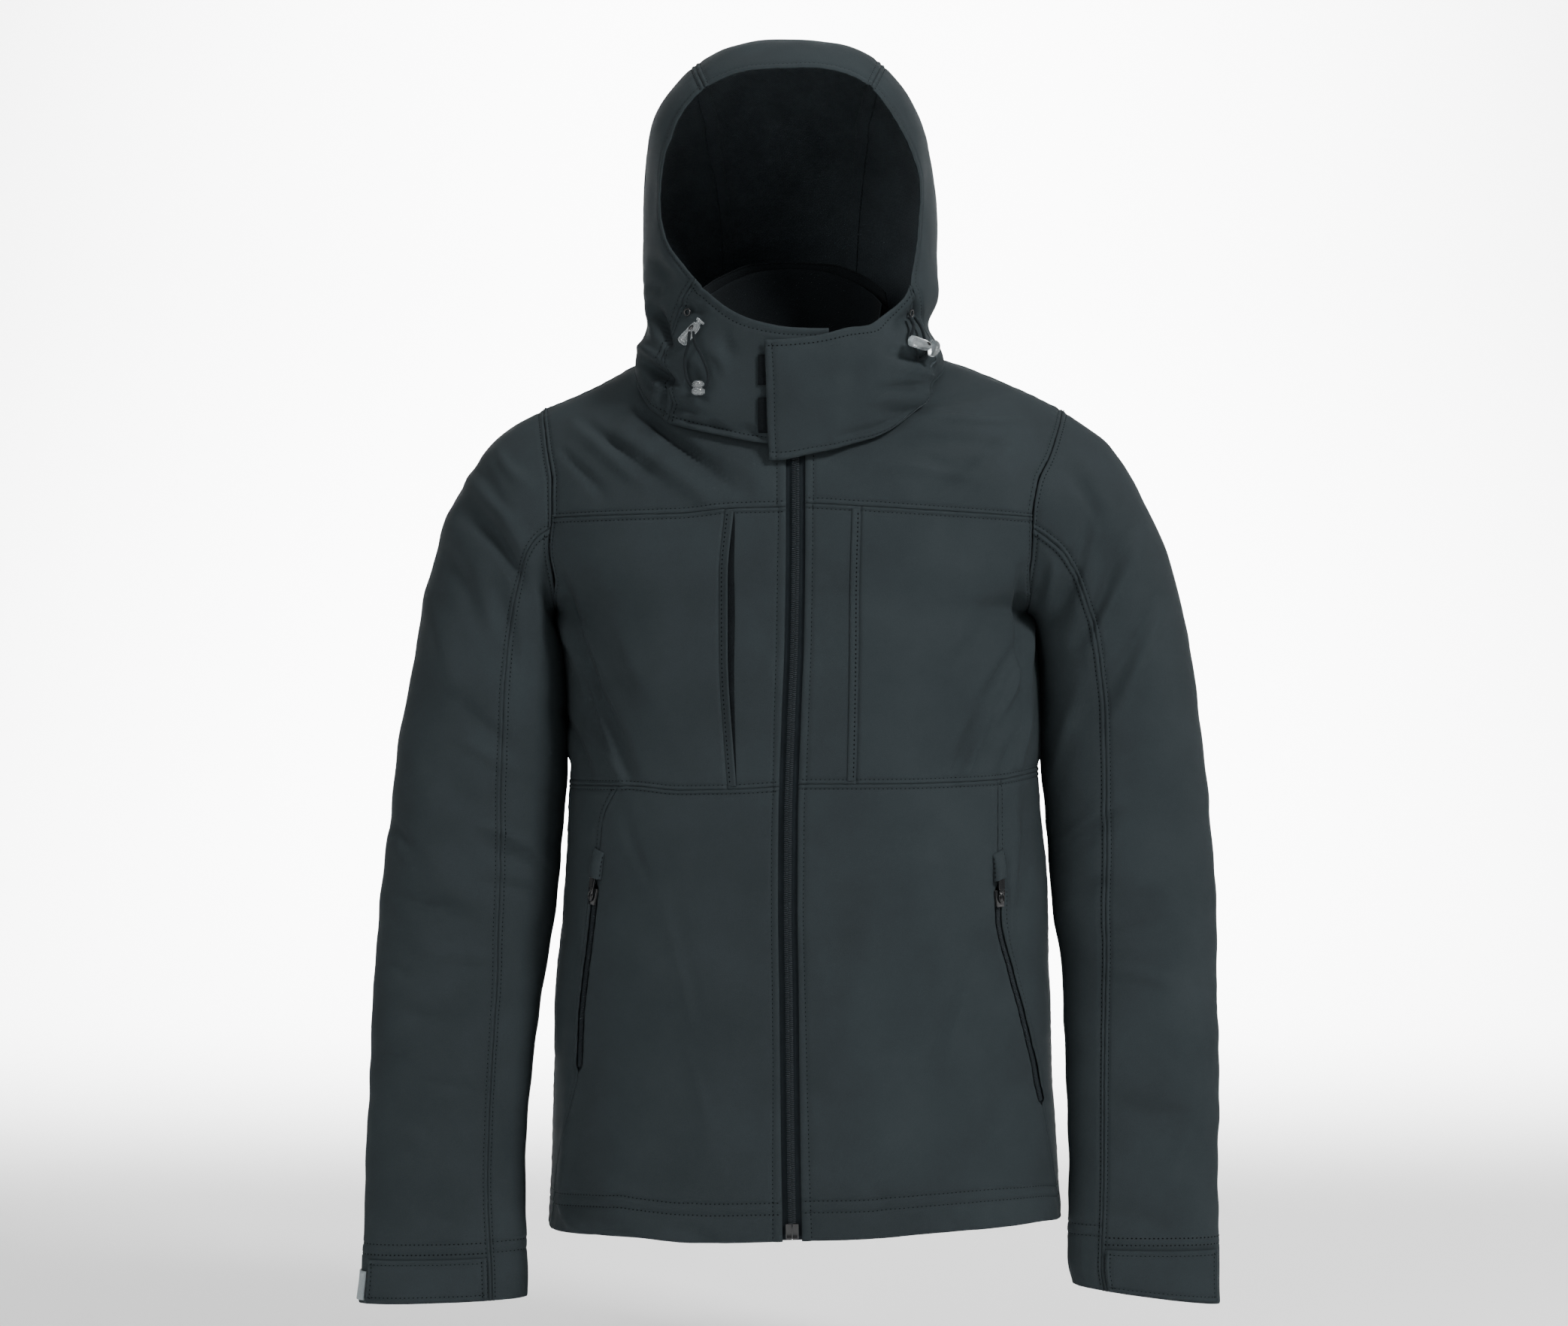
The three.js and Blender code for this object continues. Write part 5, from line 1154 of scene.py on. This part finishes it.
# Tapes that cover the crown and nape seams inside
inside = {"half": 5.5, "lift": -1.8}
for name in hoodSides:
    line = joined(hoodSeams[name]["crown"], hoodSeams[name]["nape"])[3:-4:3]
    beside = unit(np.cross(np.gradient(line, axis=0), line))
    width = np.linspace(-1, 1, 9)[None, :, None] * inside["half"] / 140
    points, normals = onHood(line[:, None] + beside[:, None] * width, inside["lift"])
    clothPiece("hood_tape_" + name, points, normals, "hood_centre", thick=0.9, materials=[fleece])

# Chin band and the flap that closes over it
bandEnd = seen((30, -69), (30, -38), (30, -10), (30, 10), (30, 23.5))
bandTop = smoothLine([hoodSeams["right"]["gather"][-1], *seen((-51.7, 41), (-13.2, 26)), bandEnd[-1]])
endTurn = float(azimuthOf(bandEnd[0]))
bandBase = edgeDirections(hoodSides["right"]["gatherTurn"], endTurn)
bandBase[-1] = bandEnd[0]
hoodPanel(
    "chin_band", hoodSeams["right"]["gather"], smoothLine(bandEnd), bandBase, bandTop,
    [brim["base"], brim["row"], "stitch", ""], pucker=0.6,
)
flapEnd = seen((-17, -81), (-18.5, -55), (-19.3, -32), (-20, -9), (-20.6, 13.5))
flapBase = smoothLine([flapEnd[0], *seen((-10, -81.5), (17, -76), (62, -65)), hoodSeams["left"]["gather"][0]])
flapTop = smoothLine([
    flapEnd[-1], *seen((11.4, 15.7), (45.6, 24), (66.7, 29.5), (86, 45)), hoodSeams["left"]["gather"][-1],
])


def flapLift(point):
    return hood["flapLift"] * (1 - ease((point[..., 0] - 33) / 22))


hoodPanel(
    "chin_flap", smoothLine(flapEnd), hoodSeams["left"]["gather"], flapBase, flapTop,
    [brim["flap"], brim["flap"], brim["flap"], "stitch"], flapLift,
)

# Hook patches at the flap's free edge
hooks = {"upper": (-22, 2), "lower": (-60, -32), "across": (-26, -6), "lift": 1.8}
for name in ("upper", "lower"):
    x, z = np.meshgrid(np.linspace(*hooks["across"], 14), np.linspace(*hooks[name], 16))
    points, normals = onHood(facingDirection(x, z), hooks["lift"])
    clothPiece("chin_hook_" + name, points, normals, slot="hook_tape", thick=1.0, materials=[hookTapeAndShadeCloth])
print("stage: hood")

# Stand collar inside the hood, with the neck edge of the hood's lining behind it, both lined in fleece darkened as
# painted shade
collar = {
    "drawIn": 0.96, "rows": 22,
    # along y: height of the collar's rim
    "rim": [(-95, 18), (-60, 30), (-20, 44), (20, 56), (40, 66), (52, 78), (60, 88), (66, 91)],
    "lining": {"spread": 1.05, "up": 5, "from": 30},
}
xf = np.concatenate([np.linspace(0.4, 20, 6), np.linspace(24, 76, 16)])
xb = np.concatenate([np.linspace(81.5, 62, 10), np.linspace(56, 0, 18)])
halves = []
for sign in (1, -1):
    front = bodyPoint(bodySpot(sign * xf, neckFront(xf)))
    back = bodyPoint(bodySpot(sign * xb, neckBack(xb), "back"))
    halves.append(np.concatenate([front, back]))
collarBase = np.concatenate([halves[0], halves[1][::-1][1:]])
rim = curveOf(collar["rim"])
t = np.linspace(0, 1, collar["rows"])[:, None]


def collarWall(base, low, high):
    points = np.stack([
        base[None, :, 0] * (1 - 0.03 * t), base[None, :, 1] * (1 - 0.07 * t), mix(low[None], high[None], t),
    ], -1)
    normals = unit(np.cross(np.gradient(points, axis=1), np.gradient(points, axis=0)))
    outwards = normals[..., 0] * points[..., 0] + normals[..., 1] * (points[..., 1] + 10)
    normals = np.where(outwards[..., None] < 0, -normals, normals)
    wave = np.sin(points[..., 0:1] * 0.09 + points[..., 2:3] * 0.03)
    return points + normals * 0.8 * wave, normals


base = collarBase * np.array([collar["drawIn"], collar["drawIn"], 1])
points, normals = collarWall(base, base[:, 2] + 1.2, rim(base[:, 1]))
points = sewnGrid(points, normals, ["seam", "stitch", "", ""])
clothPiece("collar", points, normals, materials=[softshell, shadedFleece])
lining = collar["lining"]
base = collarBase[collarBase[:, 1] > lining["from"]] * np.array([lining["spread"], lining["spread"], 1])
high = rim(base[:, 1] / lining["spread"]) + lining["up"]
points, normals = collarWall(base, high - 14, high)
points = sewnGrid(points, normals, ["", "seam", "", ""])
clothPiece("hood_neck_lining", points, normals, "hood_centre", thick=1.0, materials=[shadedFleece])
print("stage: collar")


# Hardware is modelled in millimetres on its own axes, then set on the cloth
def pick(obj, test):
    bpy.ops.object.mode_set(mode="EDIT")
    bpy.ops.mesh.select_mode(type="VERT")
    bpy.ops.mesh.select_all(action="DESELECT")
    bpy.ops.object.mode_set(mode="OBJECT")
    for vertex in obj.data.vertices:
        vertex.select = bool(test(vertex.co))
    bpy.ops.object.mode_set(mode="EDIT")


def rounded(obj, width, segments=3, angle=30):
    bevel = obj.modifiers.new("edges", "BEVEL")
    bevel.width = width
    bevel.segments = segments
    bevel.limit_method = "ANGLE"
    bevel.angle_limit = math.radians(angle)
    bpy.ops.object.modifier_apply(modifier=bevel.name)
    bpy.ops.object.shade_smooth_by_angle(angle=math.radians(40))


def together(name, *objects):
    bpy.ops.object.select_all(action="DESELECT")
    for obj in objects:
        obj.select_set(True)
    bpy.context.view_layer.objects.active = objects[0]
    if len(objects) > 1:
        bpy.ops.object.join()
    made = bpy.context.object
    made.name = made.data.name = name
    return made


def settle(obj, place, material, slot, node=None):
    bpy.ops.object.transform_apply(location=True, rotation=True, scale=True)
    obj.data.transform(place @ Matrix.Scale(mm, 4))
    if place.determinant() < 0:
        obj.data.flip_normals()
    obj.data.materials.clear()
    obj.data.materials.append(material)
    obj.select_set(False)
    return dress(obj, slot, node or obj.name.split(".")[0])


def framed(across, up, out, at):
    rows = np.stack([across, up, out], 1)
    matrix = Matrix.Identity(4)
    for i in range(3):
        for j in range(3):
            matrix[i][j] = float(rows[i, j])
        matrix[i][3] = float(at[i]) * mm
    return matrix


def bodyFrame(z, line):
    z = np.array([z, z + 6.0])
    points, normals = onBody(bodySpot(line(z), z))
    up = unit(points[1] - points[0])
    across = unit(np.cross(up, normals[0]))
    return framed(across, up, unit(np.cross(across, up)), points[0])


def offHood(x, z, off):
    point, normal = onHood(facingDirection(np.atleast_1d(x), np.atleast_1d(z)))
    away = np.asarray(off, float) / np.maximum(-normal[..., 1], 0.45)
    return point - np.stack([0 * away, away, 0 * away], -1), normal


def hoodFrame(x, z, off, tilt=0.0):
    point, normal = offHood(x, z, off)
    across = unit(np.cross(np.array([0.0, 0, 1]), normal[0]))
    up = unit(np.cross(normal[0], across))
    return framed(across, up, normal[0], point[0]) @ Matrix.Rotation(math.radians(tilt), 4, "Z")


# A flat block, whose lower end may taper to a share of its width
def plate(size, at, narrow=None):
    bpy.ops.mesh.primitive_cube_add(size=1, location=at)
    obj = bpy.context.object
    obj.scale = size
    bpy.ops.object.transform_apply(location=True, rotation=False, scale=True)
    if narrow:
        pick(obj, lambda co: co.y < at[1])
        bpy.ops.transform.resize(value=(narrow, 1, 1))
        bpy.ops.object.mode_set(mode="OBJECT")
    return obj


# Sinks the middle of a block's face
def sunk(obj, above, border, depth):
    pick(obj, lambda co: co.z > above)
    bpy.ops.mesh.select_mode(type="FACE")
    bpy.ops.mesh.inset(thickness=border)
    bpy.ops.transform.translate(value=(0, 0, -depth))
    bpy.ops.object.mode_set(mode="OBJECT")


def torus(at, radii, segments, turn=(0, 0, 0), scale=(1, 1, 1)):
    bpy.ops.mesh.primitive_torus_add(
        location=at, rotation=turn, major_radius=radii[0], minor_radius=radii[1], major_segments=segments[0],
        minor_segments=segments[1],
    )
    obj = bpy.context.object
    obj.scale = scale
    bpy.ops.object.transform_apply(location=True, rotation=True, scale=True)
    bpy.ops.object.shade_smooth()
    return obj


slider = {
    "length": 13.6, "width": 10.4, "plate": 1.15, "pullLength": 24.0, "pullWidth": 6.6,
    "sunk": 2.2,
}


def makeSlider(name, place):
    top = plate((slider["width"], slider["length"], slider["plate"]), (0, 0.4, 2.0), 0.66)
    rounded(top, 0.5)
    low = plate((slider["width"] - 0.6, slider["length"] - 0.8, 0.8), (0, 0.4, 0.7), 0.66)
    rounded(low, 0.25)
    post = plate((2.2, 5.0, 1.2), (0, 1.6, 1.3))
    bridge = torus((0, 0.8, 2.5), (2.9, 0.62), (28, 10), (0, math.radians(90), 0), (0.62, 1.35, 1.7))
    settle(together(name, top, low, post, bridge), place, glossBlack, "black_hardware")


def makePull(name, place):
    eye = torus((0, 1.2, 3.9), (3.6, 0.75), (32, 10), scale=(2.3 / 3.6, 1, 1))
    stem = plate((slider["pullWidth"] * 0.72, 4.0, 1.3), (0, 6.3, 3.9))
    rounded(stem, 0.4)
    size = (slider["pullWidth"], slider["pullLength"] - 9.5, 1.5)
    tab = plate(size, (0, (slider["pullLength"] + 6) / 2, 3.9), 0.86)
    sunk(tab, 3.9, slider["pullWidth"] * 0.14, 0.35)
    rounded(tab, 0.3)
    settle(together(name, eye, stem, tab), place, glossBlack, "black_hardware")


for side in wearers:
    z = side["zipTop"] - 8
    place = bodyFrame(z, side["pocket"])
    makeSlider("pocket_slider_" + side["name"], place)
    makePull("pocket_pull_" + side["name"], place)
zipTop = level["neck"] - 1
sliderZ = zipTop - (zipTop - (body["hem"] + 16)) / 24 + 7
makeSlider("zip_slider", bodyFrame(sliderZ, zipMiddle) @ Matrix.Translation((0, 0, -slider["sunk"] * mm)))

# Retainer box at the foot of the zip
box = {"width": 10.4, "height": 12, "depth": 3.4}
shell = plate((box["width"], box["height"], box["depth"]), (0, 0.5, -0.2))
sunk(shell, 0, 1.3, 0.5)
rounded(shell, 0.45)
pin = plate((1.3, 11.0, 0.9), (0, 0.9, 1.25))
rounded(pin, 0.25)
place = bodyFrame(body["hem"] + 8, zipMiddle)
settle(together("zip_retainer_box", shell, pin), place, glossBlack, "black_hardware")
print("stage: sliders")


# A profile of radius and height turned about the Y axis
def latheFrom(name, profile, segments=48):
    mesh = bpy.data.meshes.new(name)
    mesh.from_pydata([(r, y, 0) for r, y in profile], [(i, i + 1) for i in range(len(profile) - 1)], [])
    obj = bpy.data.objects.new(name, mesh)
    bpy.context.collection.objects.link(obj)
    bpy.ops.object.select_all(action="DESELECT")
    obj.select_set(True)
    bpy.context.view_layer.objects.active = obj
    bpy.ops.object.mode_set(mode="EDIT")
    bpy.ops.mesh.select_all(action="SELECT")
    bpy.ops.mesh.spin(steps=segments, angle=math.radians(360), center=(0, 0, 0), axis=(0, 1, 0))
    bpy.ops.mesh.select_all(action="SELECT")
    bpy.ops.mesh.remove_doubles(threshold=0.001)
    bpy.ops.mesh.normals_make_consistent(inside=False)
    bpy.ops.object.mode_set(mode="OBJECT")
    bpy.ops.object.shade_smooth_by_angle(angle=math.radians(35))
    return obj


# Cord locks: a clear barrel with its plunger, ribs and a black oval of painted shade in its cord hole, with each
# profile as radius and height
lock = {
    "rib": (4.2, 0.34), "ribHeights": [-9.6 + 1.9 * k for k in range(4)], "hole": (0, 2.6, 3.7),
    "holeShadeSize": (1.7, 2.7, 0.7),
    "right": [
        (0, -12.5), (2.2, -12.4), (3.4, -12), (4.1, -11.2), (4.3, -10), (4.25, -6), (4.1, 0), (3.9, 4),
        (3.6, 7.2), (3.2, 7.8), (1.9, 8.0), (1.9, 9.8), (3.4, 10.1), (3.7, 10.5), (3.7, 11.8), (3.3, 12.3),
        (0, 12.5),
    ],
    "left": [
        (0, -13.5), (3.2, -13.4), (4.3, -12.8), (4.6, -11.8), (4.5, -6), (4.2, 2), (3.4, 5.6), (2.4, 6.4),
        (2.4, 8.4), (5.6, 9.2), (6.8, 10.0), (7.0, 11.2), (6.6, 12.6), (5.2, 13.4), (0, 13.6),
    ],
}
lockPlaces = {
    "right": {"x": -80, "z": 21.5, "off": 4.7, "tilt": -39, "eye": (-83, 38, 0.7)},
    "left": {"x": 106.5, "z": 10.8, "off": 8.6, "tilt": -103, "eye": (101, 38, 3.1)},
}
cordPieces = {}
for name, at in lockPlaces.items():
    place = hoodFrame(at["x"], at["z"], at["off"], at["tilt"])
    barrel = latheFrom("barrel", lock[name])
    quarterTurn = (math.radians(90), 0, 0)
    ribs = [torus((0, height, 0), lock["rib"], (40, 8), quarterTurn) for height in lock["ribHeights"]]
    made = together("cord_lock_" + name, barrel, *ribs)
    cordPieces[name] = [settle(made, place, clearPlastic, "clear_plastic")]
    # a flat black oval just under the barrel's face: painted shade in the cord hole
    bpy.ops.mesh.primitive_uv_sphere_add(segments=28, ring_count=14, radius=1, location=lock["hole"])
    hole = together("cord_hole_" + name, bpy.context.object)
    hole.scale = lock["holeShadeSize"]
    bpy.ops.object.shade_smooth()
    settle(hole, place, glossBlack, "black_hardware", "cord_lock_" + name)

    eyelet = together("cord_eyelet_" + name, torus((0, 0, 0.5), (2.65, 0.8), (36, 12)))
    settle(eyelet, hoodFrame(*at["eye"]), glossBlack, "black_hardware")

bead = {
    "place": (-73.8, -24.2, 7),
    "profile": [
        (0, -6.0), (2.6, -5.9), (4.4, -5.2), (5.3, -3.8), (5.4, -2.2), (4.9, -0.8), (4.2, -0.2), (4.2, 0.3),
        (4.7, 0.9), (4.9, 2.2), (4.7, 3.8), (3.8, 5.1), (2.2, 5.8), (0, 5.9),
    ],
}
made = settle(latheFrom("cord_bead", bead["profile"]), hoodFrame(*bead["place"]), clearPlastic, "clear_plastic")
cordPieces["right"].append(made)


# A tube along a line of points in mm, with its UV in metres
def tube(name, line, radius, material, sides=14):
    tangent = unit(np.gradient(line, axis=0))
    normal = unit(np.cross(tangent[0], [0.31, 0.17, 0.93]))
    turn = np.linspace(0, 2 * math.pi, sides, endpoint=False)[:, None]
    rings = []
    for at, along in zip(line, tangent):
        normal = unit(normal - along * (normal @ along))
        rings.append(at + radius * (np.cos(turn) * normal + np.sin(turn) * np.cross(along, normal)))
    run, around = runOf(line) * mm, 2 * math.pi * radius * mm / sides
    faces, uvs = [], []
    for i in range(len(line) - 1):
        for j in range(sides):
            k = (j + 1) % sides
            faces.append((i * sides + j, i * sides + k, (i + 1) * sides + k, (i + 1) * sides + j))
            uvs += [(side * around, run[row]) for side, row in ((j, i), (j + 1, i), (j + 1, i + 1), (j, i + 1))]
    last = (len(line) - 1) * sides
    faces += [tuple(range(sides))[::-1], tuple(last + j for j in range(sides))]
    return newObject(name, np.concatenate(rings), faces, [material], uvs + [(0, 0)] * (2 * sides))


cord = {"diameter": 2.4}
cordRoutes = {
    "right": [
        (-81.2, 21, 9.9), (-82, 12, 8.6), (-84.6, 0, 4.8), (-84, -12, 4), (-82, -19.5, 6), (-79, -23.6, 7),
        (-73.8, -24.2, 7), (-68.6, -23.6, 7), (-66, -19.5, 6), (-66, -12, 4), (-70.5, 0, 4.8), (-76.8, 12, 8.6),
        (-77.8, 21, 9.9),
    ],
    "left": [
        (99.2, 35, 5), (99.4, 28, 6.4), (99.8, 22, 6.2), (100.6, 13, 4),
        (102.2, 5, 2.6), (105.6, 1, 2.6), (108.6, 5, 2.6), (108.2, 13, 4),
        (105.6, 22, 6.2), (104.2, 28, 6.4), (102.8, 35, 5),
    ],
}
for name, route in cordRoutes.items():
    rows = np.array(route, float)
    points, _ = offHood(rows[:, 0], rows[:, 1], rows[:, 2])
    line = smoothLine(points, 140)
    obj = dress(tube("cord_" + name, line, cord["diameter"] / 2, cordCloth), "elastic_cord", "cord_" + name)
print("stage: cords")


# Small forms in rows, each from rings of points: an array of form, ring, side and place for each row
def rowsOfForms(name, rows, material, slot, *nodes, capped=False):
    faces, count = [], 0
    for k, forms in enumerate(rows):
        total, rings, sides = forms.shape[:3]
        base = count + np.arange(total)[:, None, None] * rings * sides
        ring = np.arange(rings - 1)[None, :, None] * sides
        j = np.arange(sides)[None, None]
        near, far = base + ring, base + ring + sides
        beside = (j + 1) % sides
        quads = np.stack([near + j, far + j, far + beside, near + beside], -1).reshape(-1, 4)
        faces += (quads[:, ::-1] if capped and k == 0 else quads).tolist()
        if capped:
            ends = np.stack([base[:, 0] + j[0], base[:, 0] + (rings - 1) * sides + j[0]], 1)
            faces += ends.reshape(-1, sides).tolist()
        count += total * rings * sides
    points = np.concatenate([forms.reshape(-1, 3) for forms in rows])
    # threads read Blender's own UV squares, plastic reads none
    dress(newObject(name, points, faces, [material], None if capped else []), slot, *nodes)


# Stitches of all rows, in three pieces
stitch = {
    "length": 2.5, "width": 0.62, "height": 0.36, "sides": 5,
    # along its length: share, width
    "form": [(-0.5, 0.3), (0, 1.0), (0.5, 0.3)],
}


def stitchRow(points, normals):
    pitch, run = cloth["stitchPitch"], runOf(points)
    at = np.arange(pitch, run[-1] - pitch * 0.6, pitch)
    centre, normal = readAt(points, run, at), unit(readAt(normals, run, at))
    along = unit(readAt(points, run, at + 1.2) - readAt(points, run, at - 1.2))
    side = unit(np.cross(normal, along))
    turn = np.linspace(0, 2 * math.pi, stitch["sides"], endpoint=False) + 0.3
    rings = []
    for share, wide in stitch["form"]:
        spread = side[:, None] * (stitch["width"] * wide * np.cos(turn))[None, :, None]
        out = stitch["height"] * wide * np.sin(turn) + 0.05 - 0.35 * (2 * share) ** 4
        middle = (centre + along * share * stitch["length"])[:, None]
        rings.append(middle + spread + normal[:, None] * out[None, :, None])
    return np.stack(rings, 1)


third = len(stitchLines) // 3 + 1
for k in range(3):
    lines = stitchLines[k * third:(k + 1) * third]
    rows = [stitchRow(*line) for line in lines if runOf(line[0])[-1] >= 2 * cloth["stitchPitch"]]
    rowsOfForms("stitches_" + str(k + 1), rows, threadCloth, "softshell")
print("stage: stitches")

# Zip teeth: two rows of small links that meet on the middle line
link = {
    "sides": 6, "overlap": 0.25, "gap": 0.4,
    # reach, pitch, lift, height
    "main": (3.4, 1.5, -0.35, 1.7), "pocket": (2.0, 1.15, -0.9, 1.1),
    # out from the middle: share, width
    "form": [(0.0, 0.55), (0.16, 0.95), (0.5, 1.0), (0.84, 0.8), (1.0, 0.45)],
}


def teeth(name, line, low, high, reach, pitch, lift, tall):
    turn = np.linspace(0, 2 * math.pi, link["sides"], endpoint=False)
    rows = []
    for sign in (-1, 1):
        z = np.arange(low, high, pitch) + (pitch / 2 if sign > 0 else 0)
        rings = []
        for share, wide in link["form"]:
            point, normal = onBody(bodySpot(line(z) + sign * (share * reach - link["overlap"]), z), lift)
            rise = normal[:, None] * (tall / 2 * wide * np.sin(turn))[None, :, None]
            spread = np.array([0.0, 0, 1]) * (pitch * link["gap"] * wide * np.cos(turn))[None, :, None]
            rings.append(point[:, None] + rise + spread)
        rows.append(np.stack(rings, 1))
    rowsOfForms(name, rows, teethBlack, "zip_teeth", name, capped=True)


teeth("zip_coil", zipMiddle, body["hem"] + 14.5, sliderZ - 3, *link["main"])
for side in wearers:
    teeth("pocket_coil_" + side["name"], side["pocket"], side["zipLow"] + 1, side["zipTop"] - 14, *link["pocket"])
print("stage: zip teeth")

# Floor and backdrop, with soft light all round
studio = {"floor": -0.86, "back": 4.6, "half": 7, "bend": 1.4, "pale": 0.96, "sky": 0.32}
bpy.ops.mesh.primitive_plane_add(size=2 * studio["half"], location=(0, 0, studio["floor"]))
floor = bpy.context.object
floor.name = "floor"
pick(floor, lambda co: co.y > 0)
bpy.ops.transform.translate(value=(0, studio["back"] - studio["half"], 0))
bpy.ops.mesh.extrude_region_move(TRANSFORM_OT_translate={"value": (0, 0, studio["half"])})
bpy.ops.object.mode_set(mode="OBJECT")
bend = floor.modifiers.new("sweep", "BEVEL")
bend.width = studio["bend"]
bend.segments = 24
bend.limit_method = "ANGLE"
bpy.ops.object.modifier_apply(modifier=bend.name)
bpy.ops.object.shade_smooth()
paper, _, _, paperShader = newMaterial("paper")
paperShader.inputs["Base Color"].default_value = (studio["pale"], studio["pale"], studio["pale"], 1)
paperShader.inputs["Roughness"].default_value = 1
floor.data.materials.append(paper)
floor.select_set(False)

world = bpy.data.worlds.new("studio")
bpy.context.scene.world = world
world.use_nodes = True
world.node_tree.nodes["Background"].inputs["Color"].default_value = (1, 1, 1, 1)
world.node_tree.nodes["Background"].inputs["Strength"].default_value = studio["sky"]
lights = [
    # place, aim, power, size, spread of the beam
    ((2.1, -2.0, 2.0), (0, 0, -0.25), 172, 0.7, 180), ((-2.1, -2.6, 0.9), (0, 0, -0.3), 46, 1.8, 180),
    ((0, 0.1, 2.7), (0, 0, -0.1), 44, 1.4, 180), ((0, 2.5, 2.1), (0, 4.6, -0.3), 520, 3.0, 100),
]
for k, (place, target, power, size, spread) in enumerate(lights):
    bpy.ops.object.light_add(type="AREA", location=place)
    lamp = bpy.context.object
    lamp.name = "softbox_" + str(k + 1)
    lamp.data.energy = power
    lamp.data.size = size
    lamp.data.spread = math.radians(spread)
    aim = Vector(target) - Vector(place)
    lamp.rotation_euler = aim.to_track_quat("-Z", "Y").to_euler()
bpy.ops.object.select_all(action="DESELECT")
print("stage: studio")

print("stage: all made")
